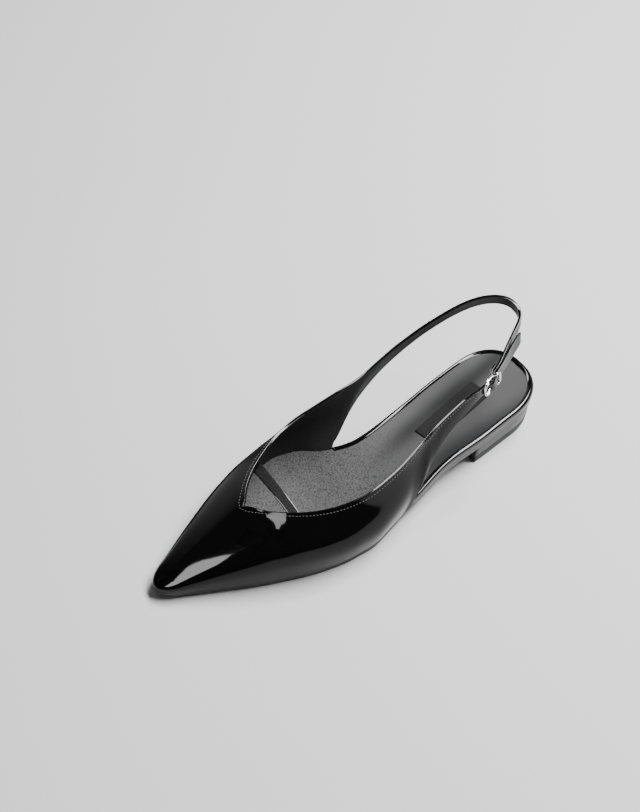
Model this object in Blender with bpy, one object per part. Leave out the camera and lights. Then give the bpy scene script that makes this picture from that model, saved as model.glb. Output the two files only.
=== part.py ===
"""Left shoe: a flat pointed slingback with a low heel, a hollow upper and a buckled sling strap."""
import math
from bisect import bisect_right
from collections import namedtuple

import bpy
from mathutils import Vector

# Driving dimensions in millimetres: x runs from heel back to toe, y to the outer side, z up
MM = 0.001
LENGTH = 265.0
MIDDLE_X = 132.8
MIDDLE_Y = 4.3
SEAT_GAP = 0.3
SHARP_ANGLE = 35.0

# Sole and heel
OUTSOLE_THICK = 2.3
OUTSOLE_INSET = 0.3
INSOLE_INSET = 3.15
SEAT_DISH = 1.0
HEEL_ROUND = 30.0
HEEL_SQUARENESS = 2.35
TOE_ROUND = 9.0
BREAST_X = 60.0
TOP_PIECE_THICK = 4.2
HEEL_INSET_TOP = 0.9
HEEL_INSET_FLOOR = 1.3
TOP_PIECE_BEVEL = 0.2
ACROSS = 10
CUP_POWER = 4
CUP_FLARE = 0.5
FLANK_STATIONS = 24

# Rim round the open rear of the insole
BINDING_DEPTH = 2.4
BINDING_RISE = 0.8
BINDING_CHAMFER = 0.9
BINDING_END_LATERAL = 117.0
BINDING_END_MEDIAL = 124.0

# Bare patch on the sock
LABEL_REAR = (33.0, -1.8)
LABEL_FRONT = (84.0, 8.1)
LABEL_WIDTH = 15.0
LABEL_THICK = 0.6

# Upper
WALL_CELLS = 9
LOW_HANDLE = {1: 0.58, -1: 0.50}
HIGH_HANDLE = {1: 0.40, -1: 0.54}
VAMP_STEPS = 2
QUARTER_STEPS = 3
SWEPT_ROWS = 4
STRAP_STEP = 6.0
SLOT_SHARE = 0.24

# Buckle: wire frame, bar across its middle, prong on the bar
BUCKLE_MIDDLE = (53.6, 27.5, 64.6)
BUCKLE_HEADING = (-0.95, -0.22, 0.25)
BUCKLE_HALF_LENGTH = 6.7
BUCKLE_HALF_WIDTH = 5.0
BUCKLE_CORNER = 1.8
BUCKLE_DIP = 1.6
WIRE_RADIUS = 0.8
BAR_RADIUS = 0.7
PRONG_RADIUS = 0.5
PRONG_EYE = 1.5
PRONG_EYE_FROM = -150.0
PRONG_EYE_TURN = 240.0
PRONG_EYE_STEPS = 8
BUCKLE_FLAT = 2.0
CORNER_STEPS = 4
WIRE_SIDES = 10
PRONG_SIDES = 8
TAB_HALF = 3.6
SLING_HALF = 2.9

# Band across the throat, sewn under both toplines; its edges lie between the second and third quarter ribs
THROAT_BAND_THICK = 1.1
THROAT_BAND_TUCK = 0.16
THROAT_BAND_ARCH = 1.2
THROAT_BAND_FRONT = 0.05
THROAT_BAND_REAR = {1: 0.42, -1: 0.54}
THROAT_BAND_STEPS = 8

# Plan of the sole: half width and middle line at each station
Plan = namedtuple("Plan", "x half centre")
PLAN = (
    Plan(0.0, 26.4, -2.8),
    Plan(14.0, 26.7, -1.7),
    Plan(32.0, 27.0, 0.0),
    Plan(53.0, 26.8, 2.8),
    Plan(85.0, 25.0, 7.0),
    Plan(118.0, 27.5, 11.5),
    Plan(136.0, 33.0, 9.9),
    Plan(150.0, 38.9, 6.3),
    Plan(163.0, 39.9, 4.5),
    Plan(178.0, 37.6, 4.5),
    Plan(209.0, 29.0, 2.9),
    Plan(236.0, 18.3, 1.2),
    Plan(254.0, 10.4, 0.5),
    Plan(265.0, 6.6, 0.0),
)

# Side view of the sole: outsole underside, insole thickness, rise of the medial arch and of the
# insole's medial edge
Profile = namedtuple("Profile", "x underside insole arch cup")
PROFILE = (
    Profile(0.0, 16.2, 4.8, 0.0, 0.0),
    Profile(30.0, 14.8, 4.8, 0.0, 0.0),
    Profile(62.0, 13.6, 4.8, 0.6, 0.0),
    Profile(80.0, 12.6, 4.8, 1.6, 0.0),
    Profile(100.0, 10.0, 4.6, 2.6, 0.0),
    Profile(118.0, 6.9, 4.3, 3.0, 0.0),
    Profile(136.0, 3.6, 3.8, 2.4, 0.9),
    Profile(152.0, 1.0, 2.8, 1.0, 3.8),
    Profile(163.0, 0.0, 2.4, 0.0, 5.4),
    Profile(190.0, 0.0, 2.2, 0.0, 4.6),
    Profile(215.0, 0.0, 2.2, 0.0, 1.6),
    Profile(240.0, 1.0, 2.2, 0.0, 0.0),
    Profile(265.0, 3.0, 2.2, 0.0, 0.0),
)

# Ridge of the vamp from toe tip to throat: rib foot along the sole, ridge point, wall angles in degrees
# and wall thickness
Vamp = namedtuple("Vamp", "foot_x ridge_x ridge_y ridge_z lateral_splay medial_splay fall wall")
VAMP = (
    Vamp(265.0, 262.2, 0.0, 10.6, 20.0, 20.0, 50.0, 1.0),
    Vamp(263.6, 260.0, 0.1, 11.9, 20.0, 20.0, 42.0, 1.2),
    Vamp(259.5, 256.0, 0.2, 14.0, 20.0, 21.0, 32.0, 1.5),
    Vamp(253.0, 250.5, 0.3, 16.8, 20.0, 22.0, 24.0, 1.8),
    Vamp(244.0, 242.5, 0.5, 20.8, 20.0, 25.0, 18.0, 1.8),
    Vamp(232.0, 231.0, 0.8, 26.4, 20.0, 27.0, 13.0, 1.8),
    Vamp(219.0, 218.5, 1.0, 32.3, 20.0, 29.0, 10.0, 1.8),
    Vamp(206.5, 206.5, 1.2, 37.8, 20.0, 31.0, 8.0, 1.8),
)

# Quarters behind the throat: rib foot, topline point, wall angles, fullness of the bow and wall thickness.
# A row without foot_y stands on the sole's edge.
Rib = namedtuple("Rib", "foot_x foot_y foot_z top_x top_y top_z splay fall bow wall")
LATERAL = (
    Rib(200.0, None, None, 199.5, 10.9, 39.2, 20.0, 18.0, 1.0, 1.8),
    Rib(192.0, None, None, 189.6, 20.6, 40.2, 21.0, 30.0, 1.0, 1.8),
    Rib(182.0, None, None, 176.5, 29.1, 40.5, 23.0, 46.0, 1.0, 1.8),
    Rib(170.0, None, None, 163.0, 34.6, 41.1, 24.0, 60.0, 1.0, 1.8),
    Rib(152.0, None, None, 145.0, 38.0, 43.4, 22.0, 72.0, 1.0, 1.8),
    Rib(137.0, None, None, 125.0, 36.3, 47.3, 16.0, 78.0, 1.0, 1.8),
    Rib(125.0, None, None, 112.0, 33.7, 50.8, 12.0, 80.0, 0.9, 1.8),
    Rib(120.0, 41.4, 14.0, 106.0, 32.4, 52.5, 6.0, 82.0, 0.7, 1.8),
    Rib(113.5, 41.0, 24.2, 99.5, 31.1, 54.8, 0.0, 84.0, 0.5, 1.8),
    Rib(103.0, 36.8, 36.8, 91.5, 29.5, 57.7, -10.0, 86.0, 0.3, 1.8),
    Rib(89.0, 32.4, 47.2, 81.0, 28.4, 61.4, 0.0, 90.0, 0.0, 1.7),
    Rib(74.0, 29.8, 54.2, 69.5, 28.0, 65.2, 0.0, 90.0, 0.0, 1.5),
)
MEDIAL = (
    Rib(199.5, None, None, 199.3, -6.9, 39.3, 32.0, 18.0, 1.0, 1.8),
    Rib(191.0, None, None, 189.3, -15.3, 40.5, 31.0, 30.0, 1.0, 1.8),
    Rib(181.0, None, None, 176.5, -22.4, 42.0, 28.0, 46.0, 1.0, 1.8),
    Rib(169.0, None, None, 163.0, -27.9, 43.3, 25.0, 60.0, 1.0, 1.8),
    Rib(152.0, None, None, 145.5, -30.6, 45.0, 22.0, 74.0, 1.0, 1.8),
    Rib(140.0, None, None, 126.0, -30.0, 48.5, 24.0, 82.0, 1.0, 1.8),
    Rib(131.5, None, None, 113.5, -29.0, 51.2, 26.0, 86.0, 0.9, 1.8),
    Rib(127.5, -22.6, 15.5, 108.0, -28.8, 52.6, 24.0, 88.0, 0.7, 1.8),
    Rib(119.5, -26.4, 24.6, 101.5, -29.0, 54.4, 18.0, 90.0, 0.5, 1.8),
    Rib(105.0, -30.4, 36.6, 92.5, -29.5, 57.8, 10.0, 90.0, 0.3, 1.8),
    Rib(86.0, -32.0, 48.4, 79.5, -29.9, 62.4, 0.0, 90.0, 0.0, 1.8),
    Rib(64.0, -30.8, 59.6, 62.0, -29.3, 68.0, 0.0, 90.0, 0.0, 1.9),
    Rib(47.5, -28.4, 66.2, 47.5, -27.7, 72.2, 0.0, 90.0, 0.0, 2.0),
    Rib(35.7, -25.7, 70.3, 35.7, -25.3, 76.0, 0.0, 90.0, 0.0, 2.1),
    Rib(24.3, -21.3, 73.4, 24.3, -21.1, 78.9, 0.0, 90.0, 0.0, 2.1),
    Rib(15.0, -14.5, 74.8, 14.9, -14.4, 80.2, 0.0, 90.0, 0.0, 2.1),
    Rib(10.7, -7.5, 74.2, 10.6, -7.5, 79.5, 0.0, 90.0, 0.0, 2.1),
    Rib(10.1, -1.5, 72.4, 10.1, -1.5, 77.7, 0.0, 90.0, 0.0, 2.0),
    Rib(13.0, 3.8, 70.2, 13.0, 3.8, 75.5, 0.0, 90.0, 0.0, 1.8),
    Rib(21.9, 9.2, 68.2, 21.9, 9.2, 73.6, 0.0, 90.0, 0.0, 1.6),
    Rib(33.2, 15.6, 66.6, 33.2, 15.6, 72.2, 0.0, 90.0, 0.0, 1.4),
)

# Path of the outer leather face at the buckle: along and out from its middle, wall thickness.
# The tab runs under the front bar, over the middle bar and under the rear bar.
Lap = namedtuple("Lap", "along out wall")
TAB = (
    Lap(-9.5, -1.4, 1.4),
    Lap(-6.7, -1.2, 1.4),
    Lap(-5.6, -1.15, 1.4),
    Lap(-4.2, -0.2, 1.4),
    Lap(-1.8, 1.7, 1.4),
    Lap(0.0, 2.0, 1.4),
    Lap(1.8, 1.7, 1.4),
    Lap(4.2, -0.2, 1.4),
    Lap(5.6, -1.15, 1.4),
    Lap(6.7, -1.2, 1.4),
    Lap(10.0, -1.2, 1.4),
)
# The sling strap comes from the rear, turns round the middle bar and is sewn back on its inner side.
SLING_END = (
    Lap(10.0, -3.1, 1.4),
    Lap(6.7, -3.1, 1.3),
    Lap(5.0, -2.6, 1.2),
    Lap(3.0, -1.6, 1.1),
)
FOLD_BACK = (
    Lap(3.0, -4.1, 1.0),
    Lap(5.0, -5.1, 1.0),
    Lap(6.7, -5.8, 1.0),
    Lap(10.5, -6.0, 1.0),
)
WRAP_RADIUS = 1.9
WRAP_WALL = 1.0
WRAP_FROM = 70.0
WRAP_TURN = 200.0
WRAP_STEPS = 6
PRONG_PATH = (
    Lap(-1.5, -0.45, 0.0),
    Lap(-2.5, -0.1, 0.0),
    Lap(-3.3, 0.45, 0.0),
    Lap(-4.8, 1.1, 0.0),
    Lap(-6.7, 1.5, 0.0),
    Lap(-7.8, 1.5, 0.0),
)
# Free tail of the tab along the outer face of the strap
TAIL = (
    Rib(32.0, 18.0, 64.4, 32.0, 17.6, 72.0, 0.0, 90.0, 0.0, 1.4),
    Rib(20.4, 12.6, 65.8, 19.4, 11.7, 73.2, 0.0, 90.0, 0.0, 1.4),
)

UP = Vector((0.0, 0.0, 1.0))


def smooth(knots, values, t):
    """Value at t of a curve through the values that never overshoots them."""
    last = len(knots) - 1
    i = max(0, min(last - 1, bisect_right(knots, t) - 1))

    def secant(k):
        return (values[k + 1] - values[k]) / (knots[k + 1] - knots[k])

    def slope(k):
        if k in (0, last):
            return secant(min(k, last - 1))
        before, after = secant(k - 1), secant(k)
        return 0.0 if before * after <= 0.0 else 2.0 * before * after / (before + after)

    step = knots[i + 1] - knots[i]
    u = (t - knots[i]) / step
    start = (1.0 + 2.0 * u) * (1.0 - u) ** 2 * values[i] + u * (1.0 - u) ** 2 * step * slope(i)
    end = u * u * (3.0 - 2.0 * u) * values[i + 1] + u * u * (u - 1.0) * step * slope(i + 1)
    return start + end


def column(rows, name, x):
    """Smooth value of one table column at station x."""
    return smooth([row.x for row in rows], [getattr(row, name) for row in rows], x)


# Sole functions


def end_round(x):
    """Share of the half width left by the rounding of heel and toe."""
    if x < HEEL_ROUND:
        u = 1.0 - x / HEEL_ROUND
        return (1.0 - u**HEEL_SQUARENESS) ** (1.0 / HEEL_SQUARENESS)
    u = max(0.0, (x - LENGTH + TOE_ROUND) / TOE_ROUND)
    return math.sqrt(max(0.0, 1.0 - u * u))


def plan_point(x, v, inset=0.0):
    """Plan point at station x, from the medial edge v = -1 to the lateral edge v = 1."""
    half = (column(PLAN, "half", x) - inset) * end_round(x)
    return inset + x * (1.0 - 2.0 * inset / LENGTH), column(PLAN, "centre", x) + v * half


def underside(x, v):
    return column(PROFILE, "underside", x) + column(PROFILE, "arch", x) * max(0.0, -v) ** 2


def outsole_top(x, v):
    return underside(x, v) + OUTSOLE_THICK


def insole_bottom(x, v):
    return outsole_top(x, v) + SEAT_GAP


def cup_rise(x, v):
    """Rise of the sock where its medial edge curls up the wall."""
    return column(PROFILE, "cup", x) * max(0.0, -v) ** CUP_POWER


def insole_top(x, v):
    thick = column(PROFILE, "insole", x) + cup_rise(x, v)
    return insole_bottom(x, v) + thick - SEAT_DISH * (1.0 - v * v)


def sole_stations():
    """Stations along the sole, closer together where heel and toe turn."""
    heel = [HEEL_ROUND * (1.0 - math.cos(math.radians(a))) for a in range(9, 90, 16)]
    flank = LENGTH - TOE_ROUND - HEEL_ROUND
    middle = [HEEL_ROUND + flank * k / FLANK_STATIONS for k in range(FLANK_STATIONS + 1)]
    toe = [LENGTH - TOE_ROUND * (1.0 - math.sin(math.radians(a))) for a in range(22, 84, 15)]
    return heel + middle + toe


# Mesh helpers


def place(point):
    """Point of the millimetre layout in the part's own frame."""
    x, y, z = point
    return ((x - MIDDLE_X) * MM, (y - MIDDLE_Y) * MM, z * MM)


def finish(name, points, faces, material):
    """Named object from layout points and faces."""
    mesh = bpy.data.meshes.new(name)
    mesh.from_pydata([place(p) for p in points], [], faces)
    mesh.materials.append(material)
    mesh.shade_smooth()
    mesh.set_sharp_from_angle(angle=math.radians(SHARP_ANGLE))
    item = bpy.data.objects.new(name, mesh)
    bpy.context.collection.objects.link(item)
    return item


def closed_wall(name, outside, inside, quads, material):
    """Solid between two point sheets of one layout, with its rim closed."""
    count = len(outside)
    faces = [tuple(quad) for quad in quads]
    faces += [tuple(k + count for k in reversed(quad)) for quad in quads]
    edges = {(quad[k], quad[(k + 1) % 4]) for quad in quads for k in range(4)}
    rim = sorted((a, b) for a, b in edges if (b, a) not in edges)
    faces += [(b, a, a + count, b + count) for a, b in rim]
    return finish(name, list(outside) + list(inside), faces, material)


def grid_quads(rows, columns):
    """Quads of a sheet stored row by row."""
    return [
        (i * columns + j, (i + 1) * columns + j, (i + 1) * columns + j + 1, i * columns + j + 1)
        for i in range(rows - 1)
        for j in range(columns - 1)
    ]


def plate(name, stations, bottom, top, insets, material, flare=0.0):
    """Plate over the sole's plan between two height functions, with its own inset below and above.
    The flare leans a cupped edge outwards as it rises."""
    widths = [1.0 - 2.0 * k / ACROSS for k in range(ACROSS + 1)]
    sheets = []
    for height, inset, lean in ((top, insets[1], flare), (bottom, insets[0], 0.0)):
        sheet = []
        for x in stations:
            for v in reversed(widths):
                along, across = plan_point(x, v, inset)
                sheet.append((along, across - lean * cup_rise(x, v), height(x, v)))
        sheets.append(sheet)
    return closed_wall(name, *sheets, grid_quads(len(stations), len(widths)), material)


def tube(name, path, radius, sides, material, ring=False):
    """Round wire along a path of points, closed on itself or with flat ends."""
    count = len(path)
    points, faces = [], []
    side = None
    for k, centre in enumerate(path):
        ahead = path[(k + 1) % count] if ring else path[min(k + 1, count - 1)]
        behind = path[k - 1] if ring or k else path[0]
        heading = (ahead - behind).normalized()
        side = (heading.orthogonal() if side is None else side - heading * side.dot(heading)).normalized()
        other = heading.cross(side)
        for s in range(sides):
            angle = 2.0 * math.pi * s / sides
            points.append(centre + (side * math.cos(angle) + other * math.sin(angle)) * radius)
    for k in range(count if ring else count - 1):
        here, there = k * sides, (k + 1) % count * sides
        for s in range(sides):
            t = (s + 1) % sides
            faces.append((here + s, here + t, there + t, there + s))
    if not ring:
        faces.append(tuple(reversed(range(sides))))
        faces.append(tuple(range((count - 1) * sides, count * sides)))
    return finish(name, points, faces, material)


def surface(name, colour, roughness, metallic=0.0):
    """Principled material of one sub-part."""
    material = bpy.data.materials.new(name)
    material.use_nodes = True
    shader = material.node_tree.nodes["Principled BSDF"]
    shader.inputs["Base Color"].default_value = (*colour, 1.0)
    shader.inputs["Roughness"].default_value = roughness
    shader.inputs["Metallic"].default_value = metallic
    return material


# Upper: ribs, their bowed lines and the wall


def buckle_axes():
    """Along, out and across directions of the buckle."""
    along = Vector(BUCKLE_HEADING).normalized()
    out = UP.cross(along).normalized() * -1.0
    return along, out, out.cross(along)


def at_buckle(along, out, across=0.0):
    axes = buckle_axes()
    return Vector(BUCKLE_MIDDLE) + axes[0] * along + axes[1] * out + axes[2] * across


def lap_rib(lap, half):
    """Straight rib across a strap of the given half width at the buckle."""
    foot = at_buckle(lap.along, lap.out, -half)
    top = at_buckle(lap.along, lap.out, half)
    return Rib(*foot, *top, 0.0, 90.0, 0.0, lap.wall)


def wrap_laps():
    """Laps of the strap round the middle bar, from its outer to its inner side."""
    for k in range(WRAP_STEPS + 1):
        angle = math.radians(WRAP_FROM + WRAP_TURN * k / WRAP_STEPS)
        yield Lap(WRAP_RADIUS * math.cos(angle), WRAP_RADIUS * math.sin(angle) - BUCKLE_DIP, WRAP_WALL)


def feather(x, side):
    """Point where the wall meets the outsole's edge."""
    return (*plan_point(x, side), outsole_top(x, side) + SEAT_GAP)


def stand_on_sole(row, side):
    x, y, z = feather(row.foot_x, side)
    return row._replace(foot_x=x, foot_y=y, foot_z=z)


def side_rows(side):
    """Control ribs of one side from the toe tip to its strap end."""
    vamp = []
    for v in VAMP:
        splay = v.lateral_splay if side > 0 else v.medial_splay
        vamp.append(Rib(v.foot_x, None, None, v.ridge_x, v.ridge_y, v.ridge_z, splay, v.fall, 1.0, v.wall))
    if side > 0:
        rear = list(LATERAL) + [lap_rib(lap, TAB_HALF) for lap in TAB] + list(TAIL)
    else:
        turn = list(SLING_END) + list(wrap_laps()) + list(FOLD_BACK)
        rear = list(MEDIAL) + [lap_rib(lap, SLING_HALF) for lap in turn]
    return vamp + rear


def ribs(side):
    """Every rib of one side: control rows with smooth ribs between them."""
    rows = side_rows(side)
    on_sole = sum(row.foot_y is None for row in rows)
    rows = [stand_on_sole(row, side) if row.foot_y is None else row for row in rows]
    knots = [0.0]
    for before, after in zip(rows, rows[1:]):
        rise = Vector(after[3:6]) - Vector(before[3:6])
        run = Vector(after[:3]) - Vector(before[:3])
        knots.append(knots[-1] + 0.5 * (rise.length + run.length))
    columns = list(zip(*rows))
    result = []
    for k in range(len(rows) - 1):
        steps = VAMP_STEPS if k < len(VAMP) - 1 else QUARTER_STEPS
        if k >= on_sole + SWEPT_ROWS:
            steps = 1 if knots[k + 1] - knots[k] < STRAP_STEP else 2
        for step in range(steps):
            t = knots[k] + (knots[k + 1] - knots[k]) * step / steps
            row = Rib(*[smooth(knots, values, t) for values in columns])
            result.append((stand_on_sole(row, side) if k < on_sole - 1 else row, k < on_sole, k))
    result.append((rows[-1], False, len(rows) - 1))
    return result


def rib_point(row, side, t):
    """Point of a rib at t, from its foot at 0 to its top at 1."""
    foot, top = Vector(row[:3]), Vector(row[3:6])
    span = (top - foot).length
    if row.top_x > VAMP[-1].ridge_x:
        out, up = Vector((foot.x - top.x, foot.y - top.y, 0.0)).normalized(), UP
    else:
        out, up = Vector((0.0, side, 0.0)), Vector((top.x - foot.x, 0.0, top.z - foot.z)).normalized()
    splay, fall = math.radians(row.splay), math.radians(row.fall)
    low = foot + (out * math.sin(splay) + up * math.cos(splay)) * LOW_HANDLE[side] * span
    high = top + (out * math.cos(fall) - up * math.sin(fall)) * HIGH_HANDLE[side] * span
    low = foot.lerp(top, 1.0 / 3.0).lerp(low, row.bow)
    high = foot.lerp(top, 2.0 / 3.0).lerp(high, row.bow)
    s = 1.0 - t
    return foot * s**3 + low * 3.0 * s * s * t + high * 3.0 * s * t * t + top * t**3


def rib_shares(row):
    """Spacing of the points on a rib: even on the wall, with a wide middle cell on the straps."""
    even = [k / WALL_CELLS for k in range(WALL_CELLS + 1)]
    edge_cells = WALL_CELLS // 2
    strap = [k * (0.5 - SLOT_SHARE / 2.0) / edge_cells for k in range(edge_cells + 1)]
    strap += [1.0 - s for s in reversed(strap)]
    return [a + (b - a) * (1.0 - row.bow) for a, b in zip(even, strap)]


def make_upper(material):
    """Hollow wall of vamp, quarters, sling strap and tab, open below, at the throat and at the heel."""
    ids, outside, walls, quads, on_edge = {}, [], [], [], set()
    ridge_end = (len(VAMP) - 1) * VAMP_STEPS

    def corner(side, i, j):
        """Key of a sheet point; both sides share the toe rib and the ridge."""
        shared = i == 0 or (j == WALL_CELLS and i <= ridge_end)
        return (0 if shared else side, i, j)

    for side in (1, -1):
        lines = ribs(side)
        for i, (row, on_sole, _) in enumerate(lines):
            for j, share in enumerate(rib_shares(row)):
                key = corner(side, i, j)
                if key not in ids:
                    ids[key] = len(outside)
                    outside.append(rib_point(row, side, share))
                    walls.append(row.wall)
                if j == 0 and on_sole:
                    on_edge.add(ids[key])
        slot = prong_slot(lines, side)
        for i in range(len(lines) - 1):
            for j in range(WALL_CELLS):
                if j == WALL_CELLS // 2 and i in slot:
                    continue
                cell = ((i, j), (i + 1, j), (i + 1, j + 1), (i, j + 1))
                quad = [ids[corner(side, *spot)] for spot in cell]
                quads.append(quad if side > 0 else quad[::-1])
    inside = inner_sheet(outside, quads, walls, on_edge)
    return closed_wall("upper", outside, inside, quads, material)


def inner_sheet(outside, quads, walls, on_edge):
    """Inner face of the wall, set in along the surface normals and level where it stands on the sole."""
    normals = [Vector() for _ in outside]
    for quad in quads:
        a, b, c, d = (outside[k] for k in quad)
        facing = (c - a).cross(d - b)
        for k in quad:
            normals[k] += facing
    for k in on_edge:
        normals[k].z = 0.0
    return [p - n.normalized() * wall for p, n, wall in zip(outside, normals, walls)]


def prong_slot(lines, side):
    """Rib intervals whose middle cell is cut out for the prong."""
    if side > 0:
        first = len(VAMP) + len(LATERAL) + 3
        cut = range(first, first + 1)
    else:
        first = len(VAMP) + len(MEDIAL) + len(SLING_END) - 1
        cut = range(first, first + WRAP_STEPS + 2)
    return {i for i, (_, _, k) in enumerate(lines) if k in cut}


# Sub-parts


def make_sole(leather, sock, binding):
    stations = sole_stations()
    plate("outsole", stations, underside, outsole_top, (OUTSOLE_INSET, OUTSOLE_INSET), leather)
    plate("insole", stations, insole_bottom, insole_top, (INSOLE_INSET, INSOLE_INSET), sock, CUP_FLARE)
    make_binding(stations, binding)


def make_binding(stations, material):
    """Rim wrapped round the rear of the insole, from the medial waist round the heel to the lateral waist."""
    medial = [(x, -1.0) for x in reversed(stations) if x < BINDING_END_MEDIAL]
    lateral = [(x, 1.0) for x in stations if x < BINDING_END_LATERAL]
    route = [(BINDING_END_MEDIAL, -1.0), *medial, *lateral, (BINDING_END_LATERAL, 1.0)]
    points = []
    for x, v in route:
        low = insole_bottom(x, v)
        high = insole_top(x, v) + BINDING_RISE
        face = [(0.0, low), (0.0, high - BINDING_CHAMFER), (BINDING_CHAMFER, high)]
        back = [(BINDING_DEPTH, high - BINDING_RISE), (BINDING_DEPTH, low)]
        points += [(*plan_point(x, v, inset), z) for inset, z in face + back]
    ring = 5
    last = (len(route) - 1) * ring
    faces = [tuple(reversed(range(ring))), tuple(range(last, last + ring))]
    for start in range(0, last, ring):
        for k in range(ring):
            n = (k + 1) % ring
            faces.append((start + k, start + n, start + ring + n, start + ring + k))
    finish("insole_binding", points, faces, material)


def make_heel(block, lift):
    stations = [x for x in sole_stations() if x < BREAST_X] + [BREAST_X]
    floor = TOP_PIECE_THICK

    def heel_top(x, v):
        return underside(x, v) - SEAT_GAP

    def heel_bottom(x, v):
        return floor + SEAT_GAP

    plate("heel", stations, heel_bottom, heel_top, (HEEL_INSET_FLOOR, HEEL_INSET_TOP), block)
    plate(
        "heel_top_piece",
        stations,
        lambda x, v: 0.0,
        lambda x, v: floor,
        (HEEL_INSET_FLOOR + TOP_PIECE_BEVEL, HEEL_INSET_FLOOR),
        lift,
    )


def make_label(material):
    """Patch that lies along the dished seat."""
    rear, front = Vector(LABEL_REAR), Vector(LABEL_FRONT)
    heading = (front - rear).normalized()
    across = Vector((-heading.y, heading.x))
    rows, columns = 9, 5
    low, high = [], []
    for i in range(rows):
        for j in range(columns):
            spot = rear.lerp(front, i / (rows - 1)) - across * LABEL_WIDTH * (0.5 - j / (columns - 1))
            half = column(PLAN, "half", spot.x) - INSOLE_INSET
            v = (spot.y - column(PLAN, "centre", spot.x)) / half
            seat = insole_top(spot.x, v) + SEAT_GAP
            low.append((*spot, seat))
            high.append((*spot, seat + LABEL_THICK))
    closed_wall("sock_label", high, low, grid_quads(rows, columns), material)


def make_throat_band(material):
    """Band under both toplines, following the inner face of the wall where it is sewn."""
    rows = 3
    outside = []
    for k in range(rows):
        ends = []
        for side, table in ((1, LATERAL), (-1, MEDIAL)):
            front, rear = stand_on_sole(table[1], side), stand_on_sole(table[2], side)
            mix = THROAT_BAND_FRONT + (THROAT_BAND_REAR[side] - THROAT_BAND_FRONT) * k / (rows - 1)
            row = Rib(*[a + (b - a) * mix for a, b in zip(front, rear)])
            tucked = []
            for t in (1.0 - THROAT_BAND_TUCK, 1.0 - THROAT_BAND_TUCK / 2.0, 1.0):
                rise = rib_point(row, side, t) - rib_point(row, side, t - THROAT_BAND_TUCK / 2.0)
                inward = Vector((0.0, -rise.z * side, rise.y * side)).normalized()
                inward = inward if inward.z < 0.0 else inward * -1.0
                tucked.append(rib_point(row, side, t) + inward * (row.wall + SEAT_GAP))
            ends.append(tucked)
        left, right = ends
        bridge = []
        for s in range(1, THROAT_BAND_STEPS):
            share = s / THROAT_BAND_STEPS
            point = left[-1].lerp(right[-1], share)
            bridge.append(point + UP * THROAT_BAND_ARCH * 4.0 * share * (1.0 - share))
        outside += left + bridge + list(reversed(right))
    inside = [p - UP * THROAT_BAND_THICK for p in outside]
    closed_wall("throat_band", outside, inside, grid_quads(rows, len(outside) // rows), material)


def frame_path():
    """Rounded rectangle of the buckle wire, dipped at its middle."""
    path = []
    corners = ((1, 1), (-1, 1), (-1, -1), (1, -1))
    for turn, (a, c) in enumerate(corners):
        centre = (a * (BUCKLE_HALF_LENGTH - BUCKLE_CORNER), c * (BUCKLE_HALF_WIDTH - BUCKLE_CORNER))
        for step in range(CORNER_STEPS + 1):
            angle = math.radians(90.0 * (turn + step / CORNER_STEPS))
            along = centre[0] + BUCKLE_CORNER * math.cos(angle)
            across = centre[1] + BUCKLE_CORNER * math.sin(angle)
            path.append((along, across))
        if a == c:
            path.append((a * BUCKLE_FLAT, c * BUCKLE_HALF_WIDTH))
            path.append((-a * BUCKLE_FLAT, c * BUCKLE_HALF_WIDTH))
    straight = BUCKLE_HALF_LENGTH - BUCKLE_CORNER
    return [at_buckle(a, BUCKLE_DIP * (min(1.0, (a / straight) ** 2) - 1.0), c) for a, c in path]


def make_buckle(chrome):
    frame = tube("buckle_frame", frame_path(), WIRE_RADIUS, WIRE_SIDES, chrome, ring=True)
    ends = [at_buckle(0.0, -BUCKLE_DIP, c * BUCKLE_HALF_WIDTH) for c in (-1, 1)]
    bar = tube("middle_bar", ends, BAR_RADIUS, WIRE_SIDES, chrome)
    bar.hide_render = True
    bar.display_type = "WIRE"
    union = frame.modifiers.new("middle bar", "BOOLEAN")
    union.operation = "UNION"
    union.object = bar
    eye = []
    for k in range(PRONG_EYE_STEPS + 1):
        angle = math.radians(PRONG_EYE_FROM + PRONG_EYE_TURN * k / PRONG_EYE_STEPS)
        eye.append(at_buckle(PRONG_EYE * math.cos(angle), PRONG_EYE * math.sin(angle) - BUCKLE_DIP))
    pin = [at_buckle(lap.along, lap.out) for lap in PRONG_PATH]
    tube("buckle_prong", eye + pin, PRONG_RADIUS, PRONG_SIDES, chrome)


def main():
    for item in list(bpy.data.objects):
        bpy.data.objects.remove(item, do_unlink=True)
    patent = surface("black patent leather", (0.010, 0.010, 0.011), 0.12)
    sole_leather = surface("dark sole leather", (0.045, 0.045, 0.047), 0.45)
    make_sole(
        sole_leather,
        surface("black sock leather", (0.030, 0.030, 0.032), 0.55),
        surface("patent rim", (0.012, 0.012, 0.013), 0.18),
    )
    make_heel(
        surface("heel stack", (0.050, 0.050, 0.052), 0.40),
        surface("rubber top piece", (0.015, 0.015, 0.016), 0.60),
    )
    make_label(surface("black label", (0.012, 0.012, 0.013), 0.50))
    make_upper(patent)
    make_throat_band(surface("elastic band", (0.015, 0.015, 0.016), 0.60))
    make_buckle(surface("polished steel", (0.80, 0.80, 0.82), 0.08, 1.0))


main()
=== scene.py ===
"""Left slingback shoe in black patent leather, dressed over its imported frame."""

import math
from bisect import bisect_right
from collections import namedtuple

import bmesh
import bpy
from bpy.props import FloatProperty, FloatVectorProperty, IntProperty, PointerProperty
from mathutils import Matrix, Vector
from mathutils.bvhtree import BVHTree


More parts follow.
